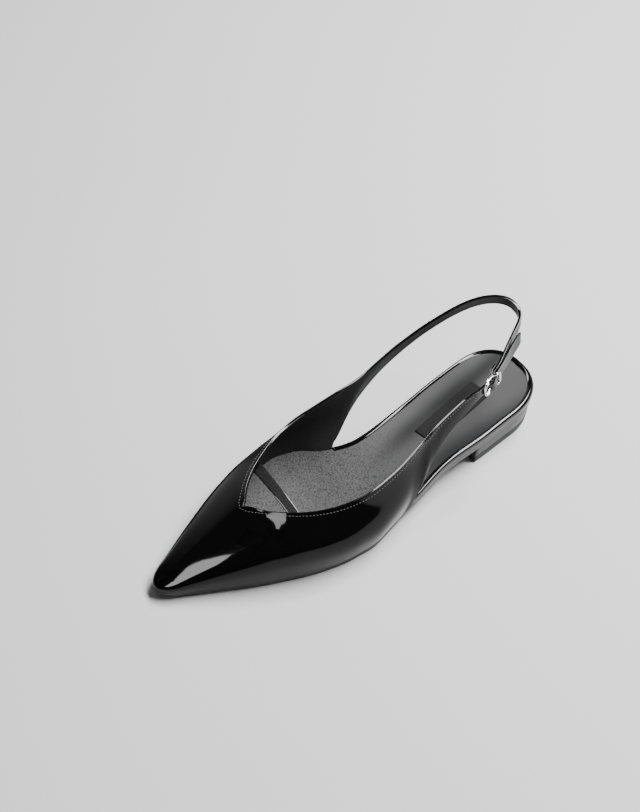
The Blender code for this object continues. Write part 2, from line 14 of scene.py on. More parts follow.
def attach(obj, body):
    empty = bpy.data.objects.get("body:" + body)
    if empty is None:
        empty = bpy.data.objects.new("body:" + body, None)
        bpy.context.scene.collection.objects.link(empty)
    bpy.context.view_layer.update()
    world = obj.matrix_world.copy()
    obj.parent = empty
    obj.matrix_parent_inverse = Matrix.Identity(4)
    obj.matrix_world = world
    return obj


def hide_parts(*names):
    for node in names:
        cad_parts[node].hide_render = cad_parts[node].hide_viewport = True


bl_info = {
    "name": "Slingback Shoe",
    "version": (1, 0, 0),
    "blender": (4, 5, 0),
    "location": "View3D > Sidebar > Shoe",
    "description": "Dresses the frame of a flat slingback shoe in leather, cloth and steel",
    "category": "Object",
}

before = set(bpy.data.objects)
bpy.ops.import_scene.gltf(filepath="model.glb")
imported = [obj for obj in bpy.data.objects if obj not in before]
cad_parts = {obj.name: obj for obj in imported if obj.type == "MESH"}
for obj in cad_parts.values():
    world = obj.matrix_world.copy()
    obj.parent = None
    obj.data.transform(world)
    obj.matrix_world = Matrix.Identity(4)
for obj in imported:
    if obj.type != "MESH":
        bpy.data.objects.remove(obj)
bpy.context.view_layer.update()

# Layout of the shoe in millimetres: x runs from heel back to toe, y to the outer side, z up
MM = 0.001
LENGTH = 265.0
MIDDLE_X = 132.8
MIDDLE_Y = 4.3
SEAT_GAP = 0.3
MERGE = 0.01
UP = Vector((0.0, 0.0, 1.0))

# Sole and heel
OUTSOLE_THICK = 2.3
OUTSOLE_INSET = 0.3
SOLE_EDGE = 0.45
SOLE_CELLS = 20
SOCK_INSET = 2.1
SOCK_EDGE = 0.6
SOCK_CELLS = 28
CUP_POWER = 4
CUP_FLARE = 0.5
SEAT_DISH = 1.0
HEEL_ROUND = 30.0
HEEL_SQUARENESS = 2.35
TOE_ROUND = 9.0
BREAST_X = 60.0
TOP_PIECE_THICK = 4.2
TOP_PIECE_DRAFT = 0.2
HEEL_INSET_TOP = 0.9
HEEL_INSET_FLOOR = 1.3
HEEL_EDGE = 0.3
# Dark strips at the upper and the lower joint of the heel, painted shade for the shadow lines under the
# joints
JOINT_SHADE_HEIGHT = 1.3
JOINT_SHADE_LAP = 0.1

# Rim round the open rear of the sock: its section goes from the foot over the roll and down the inner slope
RIM_FOOT = ((0.5, 0.0), (0.12, 0.4), (0.0, 0.9))
RIM_RISE = 0.8
RIM_ROLL = 1.7
RIM_ROLL_STEP = 15
RIM_SLOPE = ((0.25, 0.03), (0.5, 0.14), (0.8, 0.33), (1.1, 0.54), (1.4, 0.78), (1.6, 1.1))
RIM_END_LATERAL = 117.0
RIM_END_MEDIAL = 131.0

# Patch on the sock, with its seams at a share of its length
LABEL_REAR = (33.0, -1.8)
LABEL_FRONT = (84.0, 8.1)
LABEL_WIDTH = 15.0
LABEL_THICK = 0.6
LABEL_LIFT = 0.05
LABEL_EDGE = 0.25
LABEL_ROWS = 40
LABEL_COLUMNS = 14
LABEL_SEAMS = (0.035, 0.965)
SEAM_STEPS = 20

# Stitch: flatness of the thread, its lift over the leather as a share of its girth, sides and rings
STITCH_FLATNESS = 0.8
STITCH_LIFT = 0.25
STITCH_SIDES = 6
STITCH_RINGS = 4

# Upper
WALL_CELLS = 11
WALL_MOST = 2.1
LOW_HANDLE = {1: 0.58, -1: 0.50}
HIGH_HANDLE = {1: 0.40, -1: 0.54}
VAMP_STEPS = 2
QUARTER_STEPS = 3
SWEPT_ROWS = 4
STRAP_STEP = 6.0
SLOT_SHARE = 0.24
EDGE_CREASE = 0.6

# Buckle
BUCKLE_MIDDLE = (53.6, 27.5, 64.6)
BUCKLE_HEADING = (-0.95, -0.22, 0.25)
BUCKLE_HALF_LENGTH = 6.7
BUCKLE_HALF_WIDTH = 5.0
BUCKLE_CORNER = 2.6
CORNER_STEPS = 6
BUCKLE_DIP = 1.6
BUCKLE_FLAT = 2.0
WIRE_RADIUS = 0.8
WIRE_SIDES = 20
WIRE_STEPS = 3
BAR_RADIUS = 0.7
BAR_SIDES = 18
PRONG_RADIUS = 0.5
PRONG_SIDES = 14
PRONG_EYE = 1.5
PRONG_EYE_STEPS = 8
PRONG_EYE_FROM = -150.0
PRONG_EYE_TURN = 240.0
TAB_HALF = 3.6
SLING_HALF = 2.9
WRAP_RADIUS = 1.9
WRAP_WALL = 1.0
WRAP_FROM = 70.0
WRAP_TURN = 200.0
WRAP_STEPS = 6

# Band across the throat; its edges lie between the second and third quarter ribs
BAND_THICK = 1.1
BAND_TUCK = 0.16
BAND_ARCH = 1.2
BAND_FRONT = 0.05
BAND_REAR = {1: 0.42, -1: 0.54}
BAND_ROWS = 7
BAND_STEPS = 24
BAND_EDGE = 0.35
# Cords on its front and rear edge: row of the band, radius, brightness against the thread. The rear cord's
# high brightness is a painted highlight along the band's rear edge
CORDS = (("front", 0, 0.5, 0.8), ("rear", -1, 0.2, 3.6))
CORD_SINK = 0.7
CORD_SIDES = 10

# Plan of the sole: half width and middle line at each station
Plan = namedtuple("Plan", "x half centre")
PLAN = (
    Plan(0.0, 26.4, -2.8),
    Plan(14.0, 26.7, -1.7),
    Plan(32.0, 27.0, 0.0),
    Plan(53.0, 26.8, 2.8),
    Plan(85.0, 25.0, 7.0),
    Plan(118.0, 27.5, 11.5),
    Plan(136.0, 33.0, 9.9),
    Plan(150.0, 38.9, 6.3),
    Plan(163.0, 39.9, 4.5),
    Plan(178.0, 37.6, 4.5),
    Plan(209.0, 29.0, 2.9),
    Plan(236.0, 18.3, 1.2),
    Plan(254.0, 10.4, 0.5),
    Plan(265.0, 6.6, 0.0),
)

# Side view of the sole: outsole underside, insole thickness, rise of the medial arch and of the
# insole's medial edge
Profile = namedtuple("Profile", "x underside insole arch cup")
PROFILE = (
    Profile(0.0, 16.2, 4.8, 0.0, 0.0),
    Profile(30.0, 14.8, 4.8, 0.0, 0.0),
    Profile(62.0, 13.6, 4.8, 0.6, 0.0),
    Profile(80.0, 12.6, 4.8, 1.6, 0.0),
    Profile(100.0, 10.0, 4.6, 2.6, 0.0),
    Profile(118.0, 6.9, 4.3, 3.0, 0.0),
    Profile(136.0, 3.6, 3.8, 2.4, 0.9),
    Profile(152.0, 1.0, 2.8, 1.0, 3.8),
    Profile(163.0, 0.0, 2.4, 0.0, 5.4),
    Profile(190.0, 0.0, 2.2, 0.0, 4.6),
    Profile(215.0, 0.0, 2.2, 0.0, 1.6),
    Profile(240.0, 1.0, 2.2, 0.0, 0.0),
    Profile(265.0, 3.0, 2.2, 0.0, 0.0),
)

# Ridge of the vamp from toe tip to throat: rib foot along the sole, ridge point, wall angles in degrees
# and wall thickness
Vamp = namedtuple("Vamp", "foot_x ridge_x ridge_y ridge_z lateral_splay medial_splay fall wall")
VAMP = (
    Vamp(265.0, 262.2, 0.0, 10.6, 20.0, 20.0, 50.0, 1.0),
    Vamp(263.6, 260.0, 0.1, 11.9, 20.0, 20.0, 42.0, 1.2),
    Vamp(259.5, 256.0, 0.2, 14.0, 20.0, 21.0, 32.0, 1.5),
    Vamp(253.0, 250.5, 0.3, 16.8, 20.0, 22.0, 24.0, 1.8),
    Vamp(244.0, 242.5, 0.5, 20.8, 20.0, 25.0, 18.0, 1.8),
    Vamp(232.0, 231.0, 0.8, 26.4, 20.0, 27.0, 13.0, 1.8),
    Vamp(219.0, 218.5, 1.0, 32.3, 20.0, 29.0, 10.0, 1.8),
    Vamp(206.5, 206.5, 1.2, 37.8, 20.0, 31.0, 8.0, 1.8),
)

# Quarters behind the throat: rib foot, topline point, wall angles, fullness of the bow and wall thickness.
# A row without foot_y stands on the sole's edge.
Rib = namedtuple("Rib", "foot_x foot_y foot_z top_x top_y top_z splay fall bow wall")
LATERAL = (
    Rib(200.0, None, None, 199.5, 10.9, 39.2, 20.0, 23.0, 1.0, 1.8),
    Rib(192.0, None, None, 189.6, 20.6, 40.2, 21.0, 30.0, 1.0, 1.8),
    Rib(182.0, None, None, 176.5, 29.1, 40.5, 23.0, 46.0, 1.0, 1.8),
    Rib(170.0, None, None, 163.0, 34.6, 41.1, 24.0, 60.0, 1.0, 1.8),
    Rib(152.0, None, None, 145.0, 38.0, 43.4, 22.0, 72.0, 1.0, 1.8),
    Rib(137.0, None, None, 125.0, 36.3, 47.3, 16.0, 78.0, 1.0, 1.8),
    Rib(125.0, None, None, 112.0, 33.7, 50.8, 12.0, 80.0, 0.9, 1.8),
    Rib(120.0, 41.4, 14.0, 106.0, 32.4, 52.5, 6.0, 82.0, 0.7, 1.8),
    Rib(113.5, 41.0, 24.2, 99.5, 31.1, 54.8, 0.0, 84.0, 0.5, 1.8),
    Rib(103.0, 36.8, 36.8, 91.5, 29.5, 57.7, -10.0, 86.0, 0.3, 1.8),
    Rib(89.0, 32.4, 47.2, 81.0, 28.4, 61.4, 0.0, 90.0, 0.0, 1.7),
    Rib(74.0, 29.8, 54.2, 69.5, 28.0, 65.2, 0.0, 90.0, 0.0, 1.5),
)
MEDIAL = (
    Rib(199.5, None, None, 199.3, -6.9, 39.3, 32.0, 18.0, 1.0, 1.8),
    Rib(191.0, None, None, 189.3, -15.3, 40.5, 31.0, 30.0, 1.0, 1.8),
    Rib(181.0, None, None, 176.5, -22.4, 42.0, 28.0, 46.0, 1.0, 1.8),
    Rib(169.0, None, None, 163.0, -27.9, 43.3, 25.0, 60.0, 1.0, 1.8),
    Rib(152.0, None, None, 145.5, -30.6, 45.0, 22.0, 74.0, 1.0, 1.8),
    Rib(140.0, None, None, 126.0, -30.0, 48.5, 24.0, 82.0, 1.0, 1.8),
    Rib(131.5, None, None, 113.5, -29.0, 51.2, 26.0, 86.0, 0.9, 1.8),
    Rib(127.5, -22.6, 15.5, 108.0, -28.8, 52.6, 24.0, 88.0, 0.7, 1.8),
    Rib(119.5, -26.4, 24.6, 101.5, -29.0, 54.4, 18.0, 90.0, 0.5, 1.8),
    Rib(105.0, -30.4, 36.6, 92.5, -29.5, 57.8, 10.0, 90.0, 0.3, 1.8),
    Rib(86.0, -32.0, 48.4, 79.5, -29.9, 62.4, 0.0, 90.0, 0.0, 1.8),
    Rib(64.0, -30.8, 59.6, 62.0, -29.3, 68.0, 0.0, 90.0, 0.0, 1.9),
    Rib(47.5, -28.4, 66.2, 47.5, -27.7, 72.2, 0.0, 90.0, 0.0, 2.0),
    Rib(35.7, -25.7, 70.3, 35.7, -25.3, 76.0, 0.0, 90.0, 0.0, 2.1),
    Rib(24.3, -21.3, 73.4, 24.3, -21.1, 78.9, 0.0, 90.0, 0.0, 2.1),
    Rib(15.0, -14.5, 74.8, 14.9, -14.4, 80.2, 0.0, 90.0, 0.0, 2.1),
    Rib(10.7, -7.5, 74.2, 10.6, -7.5, 79.5, 0.0, 90.0, 0.0, 2.1),
    Rib(10.1, -1.5, 72.4, 10.1, -1.5, 77.7, 0.0, 90.0, 0.0, 2.0),
    Rib(12.8, 4.0, 70.2, 13.2, 3.6, 75.5, 0.0, 90.0, 0.0, 1.8),
    Rib(21.7, 9.5, 68.2, 22.1, 8.9, 73.6, 0.0, 90.0, 0.0, 1.6),
    Rib(33.0, 15.9, 66.6, 33.4, 15.3, 72.2, 0.0, 90.0, 0.0, 1.4),
)

# Path of the outer leather face at the buckle: along and out from its middle, wall thickness.
# The tab runs under the front bar, over the middle bar and under the rear bar.
Lap = namedtuple("Lap", "along out wall")
TAB = (
    Lap(-9.5, -1.4, 1.4),
    Lap(-6.7, -1.2, 1.4),
    Lap(-5.6, -1.15, 1.4),
    Lap(-4.2, -0.2, 1.4),
    Lap(-1.8, 1.7, 1.4),
    Lap(0.0, 2.0, 1.4),
    Lap(1.8, 1.7, 1.4),
    Lap(4.2, -0.2, 1.4),
    Lap(5.6, -1.15, 1.4),
    Lap(6.7, -1.2, 1.4),
    Lap(10.0, -1.2, 1.4),
)
# The sling strap comes from the rear, turns round the middle bar and is sewn back on its inner side.
SLING_END = (
    Lap(10.0, -3.1, 1.4),
    Lap(6.7, -3.1, 1.3),
    Lap(5.0, -2.6, 1.2),
    Lap(3.0, -1.6, 1.1),
)
FOLD_BACK = (
    Lap(3.0, -4.1, 1.0),
    Lap(5.0, -5.1, 1.0),
    Lap(6.7, -5.8, 1.0),
    Lap(10.5, -6.0, 1.0),
)
PRONG_PATH = (
    Lap(-1.5, -0.45, 0.0),
    Lap(-2.5, -0.1, 0.0),
    Lap(-3.3, 0.45, 0.0),
    Lap(-4.8, 1.1, 0.0),
    Lap(-6.7, 1.5, 0.0),
    Lap(-7.8, 1.5, 0.0),
)
# Free tail of the tab along the outer face of the strap
TAIL = (
    Rib(31.8, 18.4, 64.4, 32.2, 17.2, 72.0, 0.0, 90.0, 0.0, 1.4),
    Rib(20.2, 13.0, 65.8, 19.6, 11.3, 73.2, 0.0, 90.0, 0.0, 1.4),
)

# Gloss film over black leather: roughness and refraction, waves per metre, depth, smear of the roughness
Gloss = namedtuple("Gloss", "roughness ior")
PATENT_GLOSS = Gloss(0.05, 1.3)
EDGE_GLOSS = Gloss(0.1, 1.5)
RIM_GLOSS = Gloss(0.08, 1.5)
FILM_SCALE = 950.0
FILM_DEPTH = 0.0012 * MM
FILM_SMEAR = (0.7, 1.4)
# Grain of leather and rubber, ribs of cloth and thread: roughness, number per metre, depth
Grain = namedtuple("Grain", "roughness scale depth")
LINING_GRAIN = Grain(0.45, 1100.0, 0.05 * MM)
SOCK_GRAIN = Grain(0.5, 1150.0, 0.18 * MM)
SOLE_GRAIN = Grain(0.42, 1500.0, 0.03 * MM)
HEEL_GRAIN = Grain(0.35, 1500.0, 0.02 * MM)
JOINT_SHADE_GRAIN = Grain(0.6, 1500.0, 0.02 * MM)
RUBBER_GRAIN = Grain(0.6, 2200.0, 0.03 * MM)
LABEL_WEAVE = Grain(0.7, 1100.0, 0.04 * MM)
LABEL_THREAD = Grain(0.6, 2500.0, 0.02 * MM)
ELASTIC_WEAVE = Grain(0.5, 900.0, 0.05 * MM)
THREAD_TWIST = Grain(0.4, 2500.0, 0.02 * MM)
# Leather: share of darkening in the hollows, roughness of crest and hollow against the mean
HOLLOW_DEPTH = 0.4
HOLLOW_DULL = (0.9, 1.15)
# Cloth: colour of the hollows and roughness of the crests against the mean, specular level, warp ribs to a
# weft rib, waver of the ribs, and the colour of the band and of the label's thread against the cloth
CLOTH_HOLLOW = 0.7
CLOTH_DULL = 0.85
CLOTH_SHINE = 0.15
WARP_DENSITY = 1.4
RIB_WAVER = 0.6
ELASTIC_TONE = 0.15
LABEL_THREAD_TONE = 0.4
# Steel: roughness, and its range over the polishing marks
STEEL_ROUGHNESS = 0.07
STEEL_MARKS = (0.04, 0.14)
# Stations in metres between which the sole's colour and the sock's grain change along the shoe
WAIST = (-0.02, 0.02)
PEBBLED = (-0.055, 0.0)
# Sock: share of its colour left on the heel seat behind the pebbled front, and its roughness from the seat
# to the front
SEAT_TONE = 0.46
SOCK_HOLLOW = 0.7
SOCK_DULL = (0.38, 0.55)
SOCK_SHINE = 0.05
# Painted shade on the heel seat in metres, darker down a band and beside the outer edge: start and slope of
# the band's middle line, its half width, outer strip
SEAT_SHADE_START = 0.0017
SEAT_SHADE_SLOPE = 0.167
SEAT_SHADE_HALF = 0.011
SEAT_SHADE_EDGE = (0.008, 0.024)

# Floor, colour of the black cards, and the soft light: azimuth, elevation, distance and size in metres
FLOOR_HALF = 3.0
FLOOR_ROUGHNESS = 0.8
WHITE = (1.0, 1.0, 1.0, 1.0)
BLACK = (0.0, 0.0, 0.0)
CARD_BLACK = (0.004, 0.004, 0.004)
CARD_ROUGHNESS = 0.9
KEY_LIGHT = (172.0, 60.0, 1.6, (1.2, 0.45))
# Panels that light only the gloss: azimuth, elevation and distance in metres of a plane that faces the shoe,
# and outlines in millimetres on it
PANEL_PLANE = (10.0, 40.0, 0.35)
WINDOW_PLANE = (118.0, 48.0, 0.8)
TOE_PANEL = (
    (-46.0, -76.0),
    (-46.0, -6.0),
    (-62.0, -4.0),
    (-62.0, 6.0),
    (-40.0, 10.0),
    (10.0, 10.0),
    (38.0, 4.0),
    (50.0, -8.0),
    (61.0, -28.0),
    (52.0, -41.0),
    (0.0, -72.0),
)
THROAT_PANEL = (
    (5.0, 30.0),
    (34.0, 35.0),
    (66.0, 46.0),
    (82.0, 53.0),
    (91.0, 61.0),
    (97.0, 71.0),
    (88.0, 71.0),
    (72.0, 61.0),
    (46.0, 52.0),
    (12.0, 40.0),
)
WINDOW = ((-130.0, -100.0), (240.0, -100.0), (240.0, 100.0), (-130.0, 100.0))
# Upright cards round the shoe in metres: both ends in plan, lower and upper edge
SIDE_PANEL = ((0.02, -0.1), (0.18, -0.1), 0.0, 0.13)
SIDE_FADES = (("X", 0.17, 0.09), ("X", 0.025, 0.075), ("Z", 0.13, 0.06))
REAR_WALLS = (
    ((-0.45, 0.16), (-0.45, -0.5), 0.0, 0.3),
    ((-0.45, -0.5), (-0.12, -0.5), 0.0, 0.3),
)
EDGE_PANEL = ((-0.06, -0.35), (0.03, -0.35), 0.12, 0.6)
DARK_CARD = ((-0.1, -0.085), (0.02, -0.085), 0.0, 0.045)
# Black card on the floor beside the inner side: corners in plan and level in metres
SHADE_CARD = ((0.13, -0.004), (0.0, -0.02), (-0.04, -0.11), (0.1, -0.11))
SHADE_LEVEL = 0.001
# Small black flags over the vamp: centre in metres, aim in degrees, half width and half height
# in millimetres
FLAGS = (
    ((0.0841, 0.0176, 0.0388), (23.6, 54.4), (9.0, 6.0)),
    ((0.1269, -0.0058, 0.015), (-5.7, 48.6), (4.0, 6.5)),
    ((0.0704, 0.0221, 0.0374), (33.4, 52.7), (6.0, 3.1)),
)

# Camera of the picture: picture size and focal length in pixels, place in the layout, looking direction
PICTURE = (640, 812)
FOCAL_PIXELS = 1311.08
CAMERA_PLACE = (419.2, 379.9, 615.6)
CAMERA_LOOK = (-0.377, -0.5395, -0.7529)
SENSOR = 36.0


# Values that a user would change


def length_value(name, description, millimetres):
    """Length in metres, given in millimetres."""
    return FloatProperty(name=name, description=description, default=millimetres * MM, unit="LENGTH")


def colour_value(name, description, *default):
    """Linear colour."""
    return FloatVectorProperty(name=name, description=description, default=default, subtype="COLOR")


def glow_value(name, description, default):
    """Brightness of a card or of the sky."""
    return FloatProperty(name=name, description=description, default=default)


class ShoeSizes(bpy.types.PropertyGroup):
    """Sizes of the leather work."""

    edge_roll: length_value("Edge roll", "Width of the rolled edge of the topline and straps", 0.9)
    stitch_inset: length_value("Stitch inset", "Distance of the stitch row from the topline", 1.9)
    stitch_pitch: length_value("Stitch pitch", "Distance from one stitch to the next", 1.9)
    stitch_length: length_value("Stitch length", "Length of thread that shows in one stitch", 1.35)
    thread_radius: length_value("Thread radius", "Radius of the sewing thread", 0.17)
    smoothing: IntProperty(
        name="Smoothing", description="Subdivision of the leather wall", default=2, min=0, max=3
    )


class ShoeFinishes(bpy.types.PropertyGroup):
    """Colours of the materials, linear."""

    patent: colour_value("Patent leather", "Colour under the gloss", 0.0025, 0.0025, 0.0026)
    lining: colour_value("Lining", "Colour of the inner leather", 0.009, 0.009, 0.009)
    sock_front: colour_value("Sock", "Colour of the pebbled forefoot", 0.18, 0.18, 0.182)
    # Colour of the painted shade down the heel seat and beside its outer edge
    sock_shaded: colour_value("Shaded sock", "Colour of the painted shade down the heel seat and beside its outer edge", 0.028, 0.028, 0.029)
    sole_front: colour_value("Sole front", "Colour of the outsole under the vamp", 0.03, 0.03, 0.031)
    sole_rear: colour_value("Sole rear", "Colour of the outsole at waist and heel", 0.13, 0.13, 0.132)
    heel: colour_value("Heel", "Colour of the covered heel", 0.05, 0.05, 0.051)
    rubber: colour_value("Rubber", "Colour of the heel's top piece", 0.032, 0.032, 0.033)
    cloth: colour_value("Cloth", "Colour of the label and, darkened, of the band", 0.014, 0.014, 0.014)
    thread: colour_value("Thread", "Colour of the sewing thread", 0.22, 0.22, 0.22)
    steel: colour_value("Steel", "Colour of the buckle", 0.82, 0.82, 0.83)


class ShoeStage(bpy.types.PropertyGroup):
    """Floor and light round the shoe."""

    floor: colour_value("Floor", "Colour of the floor", 0.75, 0.748, 0.755)
    key_light: FloatProperty(
        name="Key light", description="Soft light behind the heel", default=65.0, unit="POWER"
    )
    sky: glow_value("Sky", "Strength of the dim light from all round", 0.05)
    toe_glow: glow_value("Toe glow", "Brightness of the panel that lies on the toe", 20.0)
    throat_glow: glow_value("Throat glow", "Brightness of the panel that lies under the throat", 16.5)
    side_glow: glow_value("Side glow", "Brightness of the panel beside the inner side", 0.7)
    window_glow: glow_value("Window glow", "Brightness of the window that draws the bright lines", 25.0)
    wall_glow: glow_value("Wall glow", "Brightness of the walls behind the heel", 0.5)
    edge_glow: glow_value("Edge glow", "Brightness of the panel that draws the topline", 14.0)


# Curves of the shoe


def smooth(knots, values, t):
    """Value at t of a curve through the values that never overshoots them."""
    last = len(knots) - 1
    i = max(0, min(last - 1, bisect_right(knots, t) - 1))

    def secant(k):
        return (values[k + 1] - values[k]) / (knots[k + 1] - knots[k])

    def slope(k):
        if k in (0, last):
            return secant(min(k, last - 1))
        before, after = secant(k - 1), secant(k)
        return 0.0 if before * after <= 0.0 else 2.0 * before * after / (before + after)

    step = knots[i + 1] - knots[i]
    u = (t - knots[i]) / step
    start = (1.0 + 2.0 * u) * (1.0 - u) ** 2 * values[i] + u * (1.0 - u) ** 2 * step * slope(i)
    end = u * u * (3.0 - 2.0 * u) * values[i + 1] + u * u * (u - 1.0) * step * slope(i + 1)
    return start + end


def column(rows, name, x):
    """Smooth value of one table column at station x."""
    return smooth([row.x for row in rows], [getattr(row, name) for row in rows], x)


def end_round(x):
    """Share of the half width left by the rounding of heel and toe."""
    if x < HEEL_ROUND:
        u = 1.0 - x / HEEL_ROUND
        return (1.0 - u**HEEL_SQUARENESS) ** (1.0 / HEEL_SQUARENESS)
    u = max(0.0, (x - LENGTH + TOE_ROUND) / TOE_ROUND)
    return math.sqrt(max(0.0, 1.0 - u * u))


def plan_point(x, v, inset=0.0):
    """Plan point at station x, from the medial edge v = -1 to the lateral edge v = 1."""
    half = (column(PLAN, "half", x) - inset) * end_round(x)
    return inset + x * (1.0 - 2.0 * inset / LENGTH), column(PLAN, "centre", x) + v * half


def underside(x, v):
    return column(PROFILE, "underside", x) + column(PROFILE, "arch", x) * max(0.0, -v) ** 2


def outsole_top(x, v):
    return underside(x, v) + OUTSOLE_THICK


def insole_bottom(x, v):
    return outsole_top(x, v) + SEAT_GAP


def cup_rise(x, v):
    """Rise of the sock where its medial edge curls up the wall."""
    return column(PROFILE, "cup", x) * max(0.0, -v) ** CUP_POWER


def insole_top(x, v):
    thick = column(PROFILE, "insole", x) + cup_rise(x, v)
    return insole_bottom(x, v) + thick - SEAT_DISH * (1.0 - v * v)


def sole_stations(flank=90, heel_step=6, toe_step=7):
    """Stations along the sole, closer together where heel and toe turn."""
    heel = [HEEL_ROUND * (1.0 - math.cos(math.radians(a))) for a in range(5, 90, heel_step)]
    reach = LENGTH - TOE_ROUND - HEEL_ROUND
    middle = [HEEL_ROUND + reach * k / flank for k in range(flank + 1)]
    toe = [LENGTH - TOE_ROUND * (1.0 - math.sin(math.radians(a))) for a in range(toe_step, 86, toe_step)]
    return heel + middle + toe


def place(point):
    """Point of the millimetre layout in the shoe's own frame."""
    x, y, z = point
    return Vector(((x - MIDDLE_X) * MM, (y - MIDDLE_Y) * MM, z * MM))


def buckle_axes():
    """Along, out and across directions of the buckle."""
    along = Vector(BUCKLE_HEADING).normalized()
    out = UP.cross(along).normalized() * -1.0
    return along, out, out.cross(along)


def at_buckle(along, out, across=0.0):
    axes = buckle_axes()
    return Vector(BUCKLE_MIDDLE) + axes[0] * along + axes[1] * out + axes[2] * across


def lap_rib(lap, half):
    """Straight rib across a strap of the given half width at the buckle."""
    foot = at_buckle(lap.along, lap.out, -half)
    top = at_buckle(lap.along, lap.out, half)
    return Rib(*foot, *top, 0.0, 90.0, 0.0, lap.wall)


def wrap_laps():
    """Laps of the strap round the middle bar, from its outer to its inner side."""
    for k in range(WRAP_STEPS + 1):
        angle = math.radians(WRAP_FROM + WRAP_TURN * k / WRAP_STEPS)
        yield Lap(WRAP_RADIUS * math.cos(angle), WRAP_RADIUS * math.sin(angle) - BUCKLE_DIP, WRAP_WALL)


def stand_on_sole(row, side):
    """Rib whose foot is set where the wall meets the outsole's edge."""
    x, y = plan_point(row.foot_x, side)
    return row._replace(foot_x=x, foot_y=y, foot_z=outsole_top(row.foot_x, side) + SEAT_GAP)


def side_rows(side):
    """Control ribs of one side from the toe tip to its strap end."""
    vamp = []
    for v in VAMP:
        splay = v.lateral_splay if side > 0 else v.medial_splay
        vamp.append(Rib(v.foot_x, None, None, v.ridge_x, v.ridge_y, v.ridge_z, splay, v.fall, 1.0, v.wall))
    if side > 0:
        rear = list(LATERAL) + [lap_rib(lap, TAB_HALF) for lap in TAB] + list(TAIL)
    else:
        turn = list(SLING_END) + list(wrap_laps()) + list(FOLD_BACK)
        rear = list(MEDIAL) + [lap_rib(lap, SLING_HALF) for lap in turn]
    return vamp + rear


def ribs(side):
    """Every rib of one side with the number of its control row."""
    rows = side_rows(side)
    on_sole = sum(row.foot_y is None for row in rows)
    rows = [stand_on_sole(row, side) if row.foot_y is None else row for row in rows]
    knots = [0.0]
    for before, after in zip(rows, rows[1:]):
        rise = Vector(after[3:6]) - Vector(before[3:6])
        run = Vector(after[:3]) - Vector(before[:3])
        knots.append(knots[-1] + 0.5 * (rise.length + run.length))
    columns = list(zip(*rows))
    result = []
    for k in range(len(rows) - 1):
        steps = VAMP_STEPS if k < len(VAMP) - 1 else QUARTER_STEPS
        if k >= on_sole + SWEPT_ROWS:
            steps = 1 if knots[k + 1] - knots[k] < STRAP_STEP else 2
        for step in range(steps):
            t = knots[k] + (knots[k + 1] - knots[k]) * step / steps
            row = Rib(*[smooth(knots, values, t) for values in columns])
            result.append((stand_on_sole(row, side) if k < on_sole - 1 else row, k))
    result.append((rows[-1], len(rows) - 1))
    return result


def rib_point(row, side, t):
    """Point of a rib at t, from its foot at 0 to its top at 1."""
    foot, top = Vector(row[:3]), Vector(row[3:6])
    span = (top - foot).length
    if row.top_x > VAMP[-1].ridge_x:
        out, up = Vector((foot.x - top.x, foot.y - top.y, 0.0)).normalized(), UP
    else:
        out, up = Vector((0.0, side, 0.0)), Vector((top.x - foot.x, 0.0, top.z - foot.z)).normalized()
    splay, fall = math.radians(row.splay), math.radians(row.fall)
    low = foot + (out * math.sin(splay) + up * math.cos(splay)) * LOW_HANDLE[side] * span
    high = top + (out * math.cos(fall) - up * math.sin(fall)) * HIGH_HANDLE[side] * span
    low = foot.lerp(top, 1.0 / 3.0).lerp(low, row.bow)
    high = foot.lerp(top, 2.0 / 3.0).lerp(high, row.bow)
    s = 1.0 - t
    return foot * s**3 + low * 3.0 * s * s * t + high * 3.0 * s * t * t + top * t**3


def rib_length(row):
    return (Vector(row[3:6]) - Vector(row[:3])).length


def rib_shares(row, roll):
    """Spacing of the points on a rib: even on the wall but for a narrow cell at each edge of the leather,
    with a wide middle cell on the straps."""
    inner = WALL_CELLS - 2
    widest = 0.5 / inner
    edge = min(roll / rib_length(row), widest)
    ridge = widest if row.top_x > VAMP[-1].ridge_x else edge
    even = [0.0, edge, *[k / inner for k in range(1, inner)], 1.0 - ridge, 1.0]
    edge_cells = WALL_CELLS // 2
    strap = [k * (0.5 - SLOT_SHARE / 2.0) / edge_cells for k in range(edge_cells + 1)]
    strap += [1.0 - s for s in reversed(strap)]
    return [a + (b - a) * (1.0 - row.bow) for a, b in zip(even, strap)]


def prong_slot(side):
    """Control rows whose middle cell is cut out for the prong."""
    if side > 0:
        first = len(VAMP) + len(LATERAL) + 3
        return range(first, first + 1)
    first = len(VAMP) + len(MEDIAL) + len(SLING_END) - 1
    return range(first, first + WRAP_STEPS + 2)


# Mesh helpers


def add_grid(bm, rows, columns, point):
    """Grid of rows by columns of corners that lie where point(row, column) says."""
    made = bmesh.ops.create_grid(bm, x_segments=rows - 1, y_segments=columns - 1, size=0.5)
    spots = {}
    for vert in made["verts"]:
        i = round((vert.co.x + 0.5) * (rows - 1))
        j = round((vert.co.y + 0.5) * (columns - 1))
        spots[vert] = (i, j)
    for vert, (i, j) in spots.items():
        vert.co = place(point(i, j))
    return spots


def add_object(name, bm, materials):
    """Object at the origin from a finished bmesh."""
    mesh = bpy.data.meshes.new(name)
    bm.to_mesh(mesh)
    bm.free()
    for material in materials:
        mesh.materials.append(material)
    made = bpy.data.objects.new(name, mesh)
    bpy.context.scene.collection.objects.link(made)
    return made


def make_piece(name, bm, materials, slot, *nodes):
    """Smooth object that rides with the shoe and stands for the named nodes."""
    piece = add_object(name, bm, materials)
    piece.data.shade_smooth()
    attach(piece, "root")
    if nodes:
        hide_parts(*nodes)
    return piece


